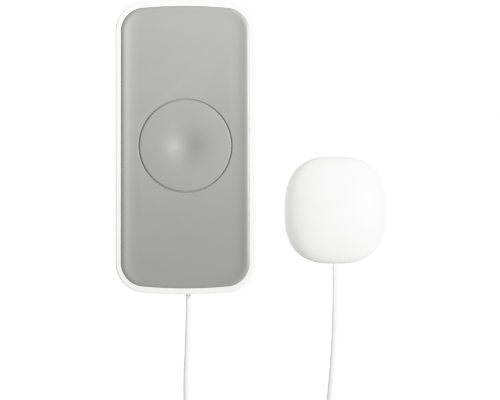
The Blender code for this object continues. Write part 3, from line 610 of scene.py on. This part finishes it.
def tie_band():
    """A narrow woven band."""
    made, nodes, links, shader = principled("tie_band", (0.8, 0.8, 0.78), 0.8)
    weave = nodes.new("ShaderNodeTexWave")
    weave.wave_type = "BANDS"
    weave.bands_direction = "Z"
    weave.inputs["Scale"].default_value = 420.0
    weave.inputs["Distortion"].default_value = 0.6
    links.new(place_of(nodes), weave.inputs["Vector"])
    vary_colour(nodes, links, shader, weave.outputs["Fac"], (0.10, 0.10, 0.105), (0.17, 0.17, 0.175))
    bump(nodes, links, weave.outputs["Fac"], shader, 0.00012)
    return made


def cell_sleeve():
    """A plain printed sleeve with a paler band near the positive end, between bare steel ends."""
    made, nodes, links, shader = principled("cell_sleeve", (0.12, 0.2, 0.3), 0.35)
    place = place_of(nodes)
    split = nodes.new("ShaderNodeSeparateXYZ")
    links.new(place, split.inputs["Vector"])
    band_start, band_end = 13.0 * MM, 13.4 * MM
    sleeve_end, bare_start = 21.25 * MM, 21.35 * MM
    band = spread(nodes, links, split.outputs["X"], 0.0, 1.0, band_start, band_end)
    paint = tint(nodes, links, band, (0.07, 0.12, 0.19), (0.62, 0.63, 0.60))
    size = nodes.new("ShaderNodeMath")
    size.operation = "ABSOLUTE"
    links.new(split.outputs["X"], size.inputs[0])
    bare = spread(nodes, links, size.outputs["Value"], 0.0, 1.0, sleeve_end, bare_start)
    vary_colour(nodes, links, shader, bare, paint, BARE_STEEL)
    links.new(bare, shader.inputs["Metallic"])
    sheen = noise(nodes, links, place, 500.0)
    vary_roughness(nodes, links, shader, sheen, 0.26, 0.4)
    return made


LOOKS = {}


def look(maker):
    """Each material is made once."""
    if maker not in LOOKS:
        LOOKS[maker] = maker()
    return LOOKS[maker]


def dress(piece, material):
    piece.data.materials.clear()
    piece.data.materials.append(material)


def add_piece(piece, body, maker, *replaced, slot=None):
    """Give a piece its material and its body, and hide the nodes that it stands for.

    The slot argument is not used.
    """
    dress(piece, look(maker))
    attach(piece, body)
    slot = slot or maker.__name__
    if replaced:
        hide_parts(*replaced)
    return piece


# -------------------- free lead

COIL_CENTRE = Vector((36.4 * MM, -7.5 * MM, -200.0 * MM))
COIL_RADIUS = 15.0 * MM
STRAND_PITCH = 2.55 * MM
TURNS = 7.5
STATIONS = 48
PATH_STEP = 1.2 * MM

# Points of the route in millimetres, from each unit down to the coil
FROM_TRANSMITTER = (
    (1.3, -7.9, -71.3), (1.25, -7.9, -75), (1.05, -7.9, -82.5), (0.85, -7.9, -91), (0.5, -7.9, -101),
    (0.1, -7.9, -109.5), (0.0, -7.9, -118), (0.4, -7.9, -128), (1.9, -7.9, -138), (4.6, -7.8, -148),
    (8.2, -7.7, -158), (12.2, -7.6, -168), (16.0, -7.5, -178.5), (18.6, -7.5, -188),
)
TO_HEAD = (
    (71.8, -6.5, -57.05), (71.8, -6.5, -62), (71.8, -6.5, -70), (71.7, -6.5, -78), (71.5, -6.5, -86),
    (71.1, -6.5, -95), (70.5, -6.5, -104), (69.8, -6.5, -113), (68.9, -6.5, -122), (67.4, -6.5, -132),
    (65.2, -6.6, -142), (62.4, -6.8, -152), (59.5, -7.0, -162), (56.9, -7.3, -172), (55.0, -7.5, -181),
    (54.2, -7.5, -188),
)


def packed_turns():
    """Where each point of the coil lies in its settled bundle, as (outwards, backwards).

    The turns start spread round a small ring, are drawn to the bundle's middle, and push each
    other apart wherever two of them are closer than the pitch of the strands.
    """
    count = int(TURNS * STATIONS) + 1
    turn = np.arange(count) / STATIONS
    swirl = 2 * math.pi * turn / (TURNS + 0.5)
    ring = 1.2 * STRAND_PITCH
    places = np.stack([ring * np.cos(swirl), ring * np.sin(swirl)], axis=1)
    ends = np.array([[1.15 * STRAND_PITCH, 0.0], [1.15 * STRAND_PITCH, 0.0]])
    rounds, draw_in, push_share = 900, 0.004, 0.7
    for step in range(rounds):
        places *= 1 - draw_in * (1 - step / rounds)
        inner = places[1:-1]
        places[1:-1] = 0.5 * inner + 0.25 * (places[:-2] + places[2:])
        push = np.zeros_like(places)
        for apart in range(STATIONS, count, STATIONS):
            gap = places[apart:] - places[:-apart]
            size = np.maximum(np.linalg.norm(gap, axis=1, keepdims=True), 1e-9)
            move = gap / size * np.maximum(STRAND_PITCH - size, 0) / 2
            push[apart:] += push_share * move
            push[:-apart] -= push_share * move
        places += push
        places[0], places[-1] = ends
    return places


def coil_turns():
    """The coil's points, from the left side going down to the right side going up."""
    points = []
    for k, (outwards, backwards) in enumerate(packed_turns()):
        angle = math.pi + 2 * math.pi * k / STATIONS
        radius = COIL_RADIUS + outwards
        spoke = Vector((radius * math.cos(angle), backwards, radius * math.sin(angle)))
        points.append(COIL_CENTRE + spoke)
    return points


def lead_path():
    route = [Vector(p) * MM for p in FROM_TRANSMITTER]
    route += coil_turns()
    route += [Vector(p) * MM for p in reversed(TO_HEAD)]
    return smooth_path(route, PATH_STEP)


def make_tie(name, side):
    """A narrow band drawn round the turns, with its free end lying over the front."""
    centre = COIL_CENTRE + Vector((side * COIL_RADIUS, 0, 0))
    inner, thick, half_tall = 4.95 * MM, 0.5 * MM, 2.0 * MM
    outer = inner + thick
    section = [(inner, -half_tall), (outer, -half_tall), (outer, half_tall), (inner, half_tall)]
    band = turned(name, section, centre, "Z", 72, closed=True)
    flap, flap_half_tall = [], half_tall * 0.92
    first_degree, degrees, steps, lies_until = -150, 5, 18, 12
    gap, tip_lift = 0.06 * MM, 0.5 * MM
    for k in range(steps + 1):
        angle = math.radians(first_degree + degrees * k)
        lift = thick + gap + tip_lift * max(0, (k - lies_until) / (steps - lies_until)) ** 2
        under, over = inner + lift, inner + lift + thick
        flap.append([
            centre + Vector((radius * math.cos(angle), radius * math.sin(angle), height))
            for radius, height in ((under, -flap_half_tall), (over, -flap_half_tall),
                                   (over, flap_half_tall), (under, flap_half_tall))
        ])
    tongue = loft(name + "_tongue", flap)
    node = "coil_tie_left" if side < 0 else "coil_tie_right"
    return [add_piece(band, WALL_SIDE, tie_band, node, slot="tie"),
            add_piece(tongue, WALL_SIDE, tie_band, slot="tie")]


def make_lead():
    path = lead_path()
    lead = tube("lead", path, LEAD_RADIUS)
    dress(lead, look(lead_jacket))
    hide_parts("lead_from_transmitter", "lead_coil", "lead_to_head")
    ties = make_tie("tie_left", -1) + make_tie("tie_right", 1)
    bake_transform(lead)


# -------------------- transmitter shells

def make_front_frame():
    rings = [body_ring(CHAMFER, FRAME_RIM), body_ring(0, FRAME_RIM - CHAMFER)]
    for inwards, forwards in quarter(FRAME_ROUNDING, 8):
        rings.append(body_ring(inwards, FRAME_FRONT + FRAME_ROUNDING - forwards))
    inner_edge = 0.06 * MM
    for inwards, forwards in reversed(quarter(inner_edge, 3)):
        rings.append(panel_ring(inwards - inner_edge, FRAME_FRONT + inner_edge - forwards))
    rings += [panel_ring(0, PANEL_BACK), panel_ring(0, LEDGE_FRONT)]
    rings += [panel_ring(LEDGE_REACH, LEDGE_FRONT), panel_ring(LEDGE_REACH, LEDGE_BACK)]
    rings += [body_ring(WALL, LEDGE_BACK + LEDGE_SLOPE), body_ring(WALL, FRAME_RIM)]
    piece = loft("frame_ring", rings, closed=True)
    posts, holes = [], []
    for side in (-1, 1):
        for _, x, z, _, end in HOUSING_SCREWS:
            posts.append(cylinder("post", POST_RADIUS, end, POST_FRONT, (side * x, 0, z)))
            holes.append(cylinder("hole", SHANK_HOLE, 0, HOLE_FRONT, (side * x, 0, z)))
    join(piece, *posts)
    cut(piece, *holes)
    add_piece(piece, TRANSMITTER, white_plastic, "front_frame")


def make_front_panel():
    """The dished panel: a round lip, a soft inner slope, and a flat middle with the button's hole."""
    lip_inset, lip_rise, side_height = 1.6 * MM, PANEL_FLAT - PANEL_LIP, 0.9 * MM
    slope_width, steepest = 7.0 * MM, 1.3 * MM
    lip_steps, slope_steps = 16, 30
    tool_back, tool_front = -10 * MM, -21 * MM
    rings = [panel_ring(CHAMFER, PANEL_BACK), panel_ring(0, PANEL_BACK - CHAMFER)]
    for k in range(lip_steps + 1):
        angle = math.pi / 2 * k / lip_steps
        inset = lip_inset * (1 - math.cos(angle))
        rings.append(panel_ring(inset, PANEL_LIP + side_height * (1 - math.sin(angle))))
    for k in range(1, slope_steps + 1):
        share = (k / slope_steps) ** 1.5
        along = slope_width * share / steepest
        rise = lip_rise * (1 + along) * math.exp(-along) * (1 - share**4)
        rings.append(panel_ring(lip_inset + slope_width * share, PANEL_FLAT - rise))
    piece = loft("dished_panel", rings)
    profile = [(0, tool_back), (HOLE_RADIUS, tool_back)]
    for inwards, forwards in quarter(EDGE_ROUNDING, 6):
        profile.append((HOLE_RADIUS + inwards, PANEL_FLAT + EDGE_ROUNDING - forwards))
    profile += [(HOLE_RADIUS + EDGE_ROUNDING, tool_front), (0, tool_front)]
    cut(piece, turned("hole_tool", profile, steps=192))
    add_piece(piece, TRANSMITTER, grey_plastic, "front_panel")


def button_face(radius):
    """The button's face: a slight crown with a round dimple in its middle."""
    crown = CROWN * (1 - (radius / BUTTON_RADIUS) ** 2)
    dimple = DIMPLE_DEPTH * math.exp(-0.5 * (radius / DIMPLE_WIDTH) ** 2)
    return PANEL_FLAT - crown + dimple


def make_button():
    """A crowned disc with a stepped edge, hollow behind, and a stem for the switch."""
    edge, face_steps = BUTTON_RADIUS - EDGE_ROUNDING, 48
    profile = []
    for k in range(face_steps):
        radius = edge * k / face_steps
        profile.append((radius, button_face(radius)))
    for inwards, forwards in reversed(quarter(EDGE_ROUNDING, 6)):
        profile.append((BUTTON_RADIUS - inwards, PANEL_FLAT + EDGE_ROUNDING - forwards))
    inner, thin, thick, stem_end = 20.4 * MM, -16.9 * MM, -15.1 * MM, -14.6 * MM
    thin_radius, thick_radius, stem_radius = 12.5 * MM, 8.0 * MM, 2.4 * MM
    fillet = 0.1 * MM
    shoulder, groove_floor = HOLE_RADIUS - 0.1 * MM, PANEL_FLAT + GROOVE_DEPTH
    profile += [
        (BUTTON_RADIUS, groove_floor - fillet), (BUTTON_RADIUS + fillet, groove_floor),
        (shoulder, groove_floor), (shoulder, FLANGE_FRONT),
        (FLANGE_RADIUS - CHAMFER, FLANGE_FRONT), (FLANGE_RADIUS, FLANGE_FRONT + CHAMFER),
        (FLANGE_RADIUS, FLANGE_BACK), (inner, FLANGE_BACK), (inner, thin),
        (thin_radius, thin), (thick_radius, thick), (stem_radius, thick), (stem_radius, stem_end),
        (0, stem_end),
    ]
    piece = turned("push_button", profile, steps=192)
    add_piece(piece, BUTTON, grey_plastic, "function_button")


def body_envelope():
    """Rings of the body's outside, from its back face to the housing's rim."""
    rings = []
    for inwards, backwards in reversed(quarter(BACK_ROUNDING, 10)):
        rings.append(body_ring(inwards, HOUSING_BACK - BACK_ROUNDING + backwards))
    rings += [body_ring(0, HOUSING_RIM + CHAMFER), body_ring(CHAMFER, HOUSING_RIM)]
    return rings


def upright_slot(name, half_x, bottom, top, corner, x, front=HOUSING_FLOOR - WALL):
    """A cutter with round corners, along Y."""
    outline = rounded_rectangle(half_x, bottom, top, corner, steps=6)
    return loft(name, [[(x + px, y, pz) for px, pz in outline] for y in (0, front)])


def keyhole_tools(x, z):
    """A narrow slot where a hook rests, and a wide one below, where it comes out."""
    clear = 0.4 * MM
    bottom = z - HOOK_HALF_HEIGHT - PLATE_TRAVEL - clear
    top = z + HOOK_HALF_HEIGHT + clear
    wide_top = bottom + 2 * HOOK_HALF_HEIGHT + clear
    return [
        upright_slot("narrow", HOOK_NECK + clear, bottom + 1 * MM, top, 0.5 * MM, x),
        upright_slot("wide", HOOK_HEAD + clear, bottom, wide_top, 0.8 * MM, x),
    ]


def door_prism(name, clearance, top):
    """The sliding door's dovetail section, drawn down past the body's end."""
    slope = (DOOR_HALF_X_INNER - DOOR_HALF_X_OUTER) / (HOUSING_BACK - DOOR_FRONT)
    past_back = 1.0 * MM if clearance else 0.0
    outer = DOOR_HALF_X_OUTER + clearance - slope * past_back
    inner = DOOR_HALF_X_INNER + clearance
    back, front = HOUSING_BACK + past_back, DOOR_FRONT - clearance
    section = [(-outer, back), (outer, back), (inner, front), (-inner, front)]
    return loft(name, [[(x, y, z) for x, y in section] for z in (BELOW_BODY, top)])


def make_rear_housing():
    rings = body_envelope()
    rings += [body_ring(WALL, HOUSING_RIM), body_ring(WALL, HOUSING_FLOOR)]
    piece = loft("back_shell", rings)
    posts, holes = [], []
    root = HOUSING_FLOOR + POST_OVERLAP
    for side in (-1, 1):
        standoff = (side * BOARD_POST_X, 0, STANDOFF_HEIGHT)
        support = (side * BOARD_POST_X, 0, SUPPORT_HEIGHT)
        posts.append(cylinder("standoff", STANDOFF_RADIUS, root, BOARD_BACK + GAP, standoff))
        posts.append(cylinder("support", SUPPORT_RADIUS, root, BOARD_BACK + GAP, support))
        holes.append(cylinder("hole", SHANK_HOLE, BOARD_HOLE_BACK, BOARD_HOLE_FRONT, standoff))
        for corner, x, z, back, end in HOUSING_SCREWS:
            place = (side * x, 0, z)
            if corner == "lower":
                posts.append(cylinder("boss", POST_RADIUS, root, end + GAP, place))
            holes.append(cylinder("hole", SHANK_HOLE, 0, HOLE_FRONT, place))
            holes.append(cylinder("seat", HEAD_HOLE, back - HEAD_SEAT, 0, place))
        for z in HOOK_HEIGHTS:
            holes += keyhole_tools(side * HOOK_X, z)
    recess = upright_slot("recess", PLATE_HALF_X + 0.5 * MM, PLATE_BOTTOM - PLATE_TRAVEL - 0.7 * MM,
                          PLATE_TOP + 0.6 * MM, 3.0 * MM, 0.0, RECESS_FLOOR)
    bay = upright_slot("bay", BAY_HALF_X, BAY_BOTTOM, BAY_TOP, 1.0 * MM, 0.0)
    outlet = cylinder("outlet", OUTLET_RADIUS, BELOW_BODY, OUTLET_TOP, (OUTLET_X, OUTLET_Y, 0), "Z")
    join(piece, *posts)
    cut(piece, recess, door_prism("channel", GAP, DOOR_TOP + GAP), bay, outlet, *holes)
    add_piece(piece, TRANSMITTER, white_plastic, "rear_housing")


def make_battery_door():
    piece = door_prism("sliding_door", 0.0, DOOR_TOP)
    envelope = loft("envelope", body_envelope())
    combine(piece, [envelope], "INTERSECT")
    ridges = []
    for z in DOOR_RIDGE_HEIGHTS:
        turns = [math.pi * k / 8 for k in range(9)]
        profile = [(RIDGE_HALF_HEIGHT * math.cos(a), RIDGE_RISE * math.sin(a)) for a in turns]
        profile += [(-RIDGE_HALF_HEIGHT, -RIDGE_ROOT), (RIDGE_HALF_HEIGHT, -RIDGE_ROOT)]
        rings = []
        for x in (-RIDGE_HALF_X, RIDGE_HALF_X):
            rings.append([(x, HOUSING_BACK + y, z + dz) for dz, y in profile])
        ridges.append(loft("ridge", rings))
    join(piece, *ridges)
    add_piece(piece, DOOR, white_plastic, "battery_door")


def make_wall_plate():
    piece = slab("hook_plate", PLATE_HALF_X, PLATE_BOTTOM, PLATE_TOP, corner=2.5 * MM,
                 back=PLATE_BACK, front=PLATE_FRONT, edge=0.3 * MM)
    hooks = []
    for x in (-HOOK_X, HOOK_X):
        for z in HOOK_HEIGHTS:
            for half, front, back in ((HOOK_NECK, HOOK_HEAD_FRONT + 0.5 * MM, PLATE_FRONT + 0.9 * MM),
                                      (HOOK_HEAD, HOOK_HEAD_FRONT, HOOK_HEAD_BACK)):
                low = (x - half, front, z - HOOK_HALF_HEIGHT)
                high = (x + half, back, z + HOOK_HALF_HEIGHT)
                hooks.append(box("hook", low, high, bevel=0.25 * MM))
    join(piece, *hooks)
    add_piece(piece, WALL_SIDE, white_plastic, "wall_plate")
    low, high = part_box("wall_plate_pad")
    pad = slab("plate_pad", high[0], low[2], high[2], corner=2.0 * MM,
               back=high[1], front=low[1], edge=0.15 * MM)
    add_piece(pad, WALL_SIDE, foam, "wall_plate_pad")


# -------------------- contact head

def head_ring(scale_x, scale_z, y, steps=144):
    """A squircle of the head's outline, scaled, at depth y."""
    points = []
    power = 2 / HEAD_SQUARENESS
    for k in range(steps):
        angle = 2 * math.pi * k / steps
        c, s = math.cos(angle), math.sin(angle)
        x = math.copysign(abs(c) ** power, c) * HEAD_HALF_X * scale_x
        z = math.copysign(abs(s) ** power, s) * HEAD_HALF_Z * scale_z
        points.append((HEAD_X + x, y, HEAD_Z + z))
    return points


def dome(inset, steps):
    """Rings of the pebble from its rear rim, over its widest line, to the pole at the front."""
    scale = 1 - inset / HEAD_HALF_X
    rise = HEAD_DOME - inset
    rings = []
    back_steps = steps // 4
    for k in range(back_steps + 1):
        share = k / back_steps
        rim = (HEAD_RIM_SCALE + (1 - HEAD_RIM_SCALE) * math.sin(share * math.pi / 2)) * scale
        rings.append(head_ring(rim, rim, HEAD_RIM + (HEAD_WIDEST - HEAD_RIM) * share))
    for k in range(1, steps):
        angle = math.pi / 2 * k / steps
        size = math.cos(angle) * scale
        rings.append(head_ring(size, size, HEAD_WIDEST - rise * math.sin(angle)))
    rings.append([(HEAD_X, HEAD_WIDEST - rise, HEAD_Z)])
    return rings


def make_head():
    cover = loft("pebble_cover", list(reversed(dome(0, 48))) + dome(HEAD_WALL, 16))
    place = (HEAD_X, 0, HEAD_Z + HEAD_SCREW_RISE)
    outlet_bottom, outlet_top = HEAD_Z - 31 * MM, HEAD_Z - 20 * MM
    join(cover, cylinder("boss", POST_RADIUS, HEAD_BASE_FRONT - GAP, HEAD_BOSS_FRONT, place))
    cut(cover, cylinder("hole", SHANK_HOLE, 0, HEAD_HOLE_FRONT, place),
        cylinder("outlet", OUTLET_RADIUS, outlet_bottom, outlet_top, (HEAD_X, HEAD_WIDEST, 0), "Z"))
    add_piece(cover, WALL_SIDE, white_plastic, "head_cover")

    rings = []
    edge, scale = 0.3 * MM, (base_high[0] - base_low[0]) / 2 / HEAD_HALF_X
    for inwards, outwards in reversed(quarter(edge, 4)):
        size = scale - inwards / HEAD_HALF_X
        rings.append(head_ring(size, size, PLATE_BACK - edge + outwards))
    rings.append(head_ring(scale, scale, HEAD_BASE_FRONT))
    base = loft("pebble_base", rings)
    supports = []
    radius, back, front = 1.5 * MM, -2.5 * MM, -5.1 * MM
    for x in (-8 * MM, 8 * MM):
        for z in (-13 * MM, 7 * MM):
            corner = (HEAD_X + x, 0, HEAD_Z + z)
            supports.append(cylinder("support", radius, back, front, corner))
    join(base, *supports)
    cut(base, cylinder("seat", HEAD_HOLE, 0, PLATE_BACK - 1.2 * MM, place),
        cylinder("hole", SHANK_HOLE, 0, -6 * MM, place))
    add_piece(base, WALL_SIDE, white_plastic, "head_base")

    low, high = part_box("head_pad")
    half_x, half_z = (high[0] - low[0]) / 2, (high[2] - low[2]) / 2
    scales = (half_x / HEAD_HALF_X, half_z / HEAD_HALF_Z)
    pad = loft("base_pad", [head_ring(*scales, high[1]), head_ring(*scales, low[1])])
    add_piece(pad, WALL_SIDE, foam, "head_pad")


# -------------------- small parts

def fine_screw(node, body, towards):
    """A pan-head screw with a cross recess, a thread and a point, in its node's place.

    Its head faces along +Y if towards is 1, and along -Y if it is -1.
    """
    low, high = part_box(node)
    head, shank, tall, edge = SCREW_HEAD, 0.86 * MM, 1.2 * MM, 0.7 * MM
    pitch, deep, point = 0.55 * MM, 0.13 * MM, 0.4 * MM
    length = high[1] - low[1]
    rounding = reversed(quarter(edge, 5))
    profile = [(0, 0)] + [(head - inwards, edge - outwards) for inwards, outwards in rounding]
    profile += [(head, tall), (shank, tall)]
    for k in range(int((length - tall - 2 * point) / pitch)):
        start = tall + point + k * pitch
        profile += [(shank, start), (shank + deep, start + pitch * 0.4), (shank, start + pitch * 0.8)]
    profile += [(shank, length - point), (0, length)]
    piece = turned("fine_" + node, [(radius, -towards * along) for radius, along in profile], steps=32)
    arm, reach, sunk, above = 0.28 * MM, 1.15 * MM, 0.7 * MM, 0.2 * MM
    near, far = sorted((above * towards, -sunk * towards))
    cut(piece, box("slot", (-reach, near, -arm), (reach, far, arm)),
        box("slot", (-arm, near, -reach), (arm, far, reach)))
    face = high[1] if towards > 0 else low[1]
    piece.location = ((low[0] + high[0]) / 2, face, (low[2] + high[2]) / 2)
    add_piece(piece, body, steel, node)


def make_screws():
    for number in range(1, 5):
        fine_screw(f"housing_screw_{number}", TRANSMITTER, 1)
    fine_screw("head_screw", WALL_SIDE, 1)
    for number in (1, 2):
        fine_screw(f"board_screw_{number}", TRANSMITTER, -1)


def make_grommets():
    """Soft grommets: a neck with a small rolled lip through the wall, and a collar inside."""
    neck, collar, crest, lip = 1.7 * MM, 2.3 * MM, 1.8 * MM, 0.35 * MM
    collar_height, crest_height = 1.7 * MM, 0.6 * MM
    for node, body in (("transmitter_grommet", TRANSMITTER), ("head_grommet", WALL_SIDE)):
        low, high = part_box(node)
        x, y = (low[0] + high[0]) / 2, (low[1] + high[1]) / 2
        outside, top = low[2], high[2]
        inside = top - collar_height
        profile = [(0, outside)]
        for inwards, outwards in reversed(quarter(lip, 4)):
            profile.append((neck - inwards, outside + lip - outwards))
        profile += [(neck, inside), (collar, inside), (collar, top - crest_height)]
        profile += [(crest, top), (0, top)]
        piece = turned("fine_" + node, profile, (x, y, 0), "Z", 48)
        add_piece(piece, body, soft_rubber, node)


def coil_spring(name, start, end, radius_start, radius_end, wire, turns, axis, body):
    """A fine copy of a spring from start to end, whose radius changes evenly."""
    start, end = Vector(start), Vector(end)
    points, steps = [], 36
    count = int(turns * steps)
    for k in range(count + 1):
        share, angle = k / count, 2 * math.pi * k / steps
        radius = radius_start + (radius_end - radius_start) * share
        across = (radius * math.cos(angle), radius * math.sin(angle))
        spoke = Vector((0, *across)) if axis == "X" else Vector((across[0], 0, across[1]))
        points.append(start.lerp(end, share) + spoke)
    return add_piece(tube("fine_" + name, points, wire / 2, 12), body, steel, name)


CELL_Y = -9.6 * MM


def make_battery():
    """Cells with a printed sleeve, a rolled shoulder and a bare nub, and their springs."""
    half, radius, shoulder = 21.75 * MM, 5.1 * MM, 0.5 * MM
    nub, nub_height, nub_edge = 1.9 * MM, 1.0 * MM, 0.3 * MM
    for number, (z, side) in enumerate(((-34.0 * MM, 1), (-46.0 * MM, -1)), start=1):
        profile = [(0, -half + 0.3 * MM), (3.4 * MM, -half + 0.3 * MM), (3.6 * MM, -half)]
        for angle in (math.pi / 2 * k / 5 for k in range(6)):
            profile.append((radius - shoulder + shoulder * math.sin(angle),
                            -half + shoulder - shoulder * math.cos(angle)))
        for inwards, outwards in quarter(shoulder, 5):
            profile.append((radius - inwards, half - shoulder + outwards))
        profile += [(3.5 * MM, half - 0.25 * MM), (2.1 * MM, half - 0.25 * MM), (nub, half)]
        for inwards, outwards in quarter(nub_edge, 4):
            profile.append((nub - inwards, half + 0.7 * MM + outwards))
        profile.append((0, half + nub_height))
        cell = turned(f"fine_battery_cell_{number}", profile, (0, 0, 0), "X", 64)
        cell.location = (0, CELL_Y, z)
        if side < 0:
            cell.rotation_euler = (0, 0, math.pi)
        add_piece(cell, TRANSMITTER, cell_sleeve, f"battery_cell_{number}", slot="cell")
        near = (-side * (half + 0.7 * MM), CELL_Y, z)
        far = (-side * (half + 3.9 * MM), CELL_Y, z)
        coil_spring(f"battery_spring_{number}", near, far, radius_start=2.0 * MM, radius_end=3.8 * MM,
                    wire=0.6 * MM, turns=3, axis="X", body=TRANSMITTER)


def make_return_spring():
    """The button's return spring, wider at the board, with a mesh of its own; it is made at rest and does
    not flatten here as the button goes in.
    """
    foot, top = (0, -12.7 * MM, 0), (0, -14.6 * MM, 0)
    spring = coil_spring("button_return_spring", foot, top, radius_start=6.5 * MM, radius_end=5.0 * MM,
                         wire=0.5 * MM, turns=2, axis="Y", body=TRANSMITTER)
    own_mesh(spring)


def make_board_parts():
    """Rows of small chip parts on the main board's front, each with its two tinned ends."""
    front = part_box("main_board")[0][1] - 0.05 * MM
    half_wide, tall, half_long, bevel = 0.5 * MM, 0.5 * MM, 0.8 * MM, 0.08 * MM
    end_half_wide, end_tall, end_middle, end_half_long = 0.55 * MM, 0.55 * MM, 0.95 * MM, 0.2 * MM
    # X and Z in millimetres: a short row above, a column on each side, and a long row below
    spots = [(-20 + 3.2 * k, 21.0) for k in range(4)] + [(18.5, 30 + 3.0 * k) for k in range(4)]
    spots += [(-20.5, 28 + 3.0 * k) for k in range(4)] + [(-10 + 3.4 * k, -16.0) for k in range(6)]
    for number, (x, z) in enumerate(spots, start=1):
        x, z = x * MM, z * MM
        low, high = (x - half_wide, front - tall, z - half_long), (x + half_wide, front, z + half_long)
        body = box(f"chip_part_{number}", low, high, bevel, segments=2)
        add_piece(body, TRANSMITTER, dark_plastic)
        for end in (-1, 1):
            middle = z + end * end_middle
            low = (x - end_half_wide, front - end_tall, middle - end_half_long)
            high = (x + end_half_wide, front, middle + end_half_long)
            side = "low" if end < 0 else "high"
            tin = box(f"chip_end_{number}_{side}", low, high, bevel, segments=2)
            add_piece(tin, TRANSMITTER, steel)


def dress_cad_nodes():
    """The inner CAD nodes keep their meshes and get procedural materials."""
    looks = {
        board_green: ("main_board", "head_board"),
        dark_plastic: ("controller_chip", "switch_body", "switch_plunger", "battery_cradle"),
        steel: ("radio_can", "antenna_wire", "battery_plate_1", "battery_plate_2", "reed_blade_upper",
                "reed_blade_lower"),
        connector_plastic: ("lead_terminal", "head_terminal"),
        soft_rubber: ("button_stop_ring",),
        clear_glass: ("reed_glass",),
        lead_jacket: ("transmitter_lead_tail", "head_lead_tail"),
    }
    for maker, nodes in looks.items():
        for node in nodes:
            piece = bpy.data.objects[node]
            for slot in piece.material_slots:
                slot.material = look(maker)


# -------------------- studio

ROOM = 0.52
BACKDROP = 2.2
FLOOR_RADIUS, FLOOR_DROP = 1.2, 25 * MM
FADE_START, FADE_END = 0.3, 1.1
# Even up to light grey, then a soft shoulder that keeps the whites below the backdrop
TONE = ((0.0, 0.0), (0.70, 0.70), (0.9, 0.855), (1.1, 0.92), (1.35, 0.955), (1.7, 0.977), (2.2, 1.0))


def make_floor():
    """A plain pale floor well below, whose rim fades into the white backdrop."""
    bm = bmesh.new()
    bmesh.ops.create_circle(bm, cap_ends=True, radius=FLOOR_RADIUS, segments=96)
    floor = finish_mesh("floor", bm, (VIEW_CENTRE[0], 0, cad_box[0][2] - FLOOR_DROP))
    made, nodes, links, shader = principled("floor_paint", (0.93, 0.93, 0.93), 0.9)
    distance = nodes.new("ShaderNodeVectorMath")
    distance.operation = "LENGTH"
    links.new(place_of(nodes), distance.inputs[0])
    fade = spread(nodes, links, distance.outputs["Value"], 1.0, 0.0, FADE_START, FADE_END)
    links.new(fade, shader.inputs["Alpha"])
    dress(floor, made)


def area_light(name, location, target, size, power, spread_angle=180):
    data = bpy.data.lights.new(name, "AREA")
    data.shape = "DISK"
    data.size = size
    data.energy = power
    data.spread = math.radians(spread_angle)
    lamp = add_object(name, data)
    lamp.location = location
    aim = Vector(target) - Vector(location)
    lamp.rotation_euler = aim.to_track_quat("-Z", "Y").to_euler()


def make_light():
    """A white room, a soft key from the right, strongest over the upper part, and two fills.

    One fill lies behind, and a small one in front lights the coil.
    """
    world = bpy.data.worlds.new("studio")
    bpy.context.scene.world = world
    world.use_nodes = True
    nodes, links = world.node_tree.nodes, world.node_tree.links
    nodes.clear()
    out = nodes.new("ShaderNodeOutputWorld")
    path = nodes.new("ShaderNodeLightPath")
    mix = nodes.new("ShaderNodeMixShader")
    links.new(path.outputs["Is Camera Ray"], mix.inputs["Fac"])
    links.new(mix.outputs["Shader"], out.inputs["Surface"])
    for socket, strength in ((1, ROOM), (2, BACKDROP)):
        background = nodes.new("ShaderNodeBackground")
        background.inputs["Color"].default_value = (1, 1, 1, 1)
        background.inputs["Strength"].default_value = strength
        links.new(background.outputs["Background"], mix.inputs[socket])
    area_light("key", (0.60, -0.56, 0.08), (-0.02, 0, 0.19), size=0.25, power=1.30, spread_angle=53)
    area_light("rear_fill", (-0.35, 0.95, 0.30), (0.0, 0, 0.0), size=0.6, power=5.0)
    area_light("low_fill", (0.10, -0.50, -0.40), (0.036, 0, -0.235), size=0.12, power=0.11,
               spread_angle=30)


def set_tone():
    """Plain colours with the tone curve; the fourth curve is the one for all channels."""
    view = bpy.context.scene.view_settings
    view.view_transform = "Standard"
    view.use_curve_mapping = True
    mapping = view.curve_mapping
    mapping.use_clip = False
    mapping.clip_max_x = 4.0
    curve = mapping.curves[3]
    while len(curve.points) > 2:
        curve.points.remove(curve.points[1])
    curve.points[0].location = TONE[0]
    curve.points[-1].location = TONE[-1]
    for x, y in TONE[1:-1]:
        curve.points.new(x, y)
    mapping.update()


make_camera()
make_lead()
make_front_frame()
make_front_panel()
make_button()
make_rear_housing()
make_battery_door()
make_wall_plate()
make_head()
make_screws()
make_grommets()
make_battery()
make_return_spring()
make_board_parts()
dress_cad_nodes()
make_floor()
make_light()
set_tone()
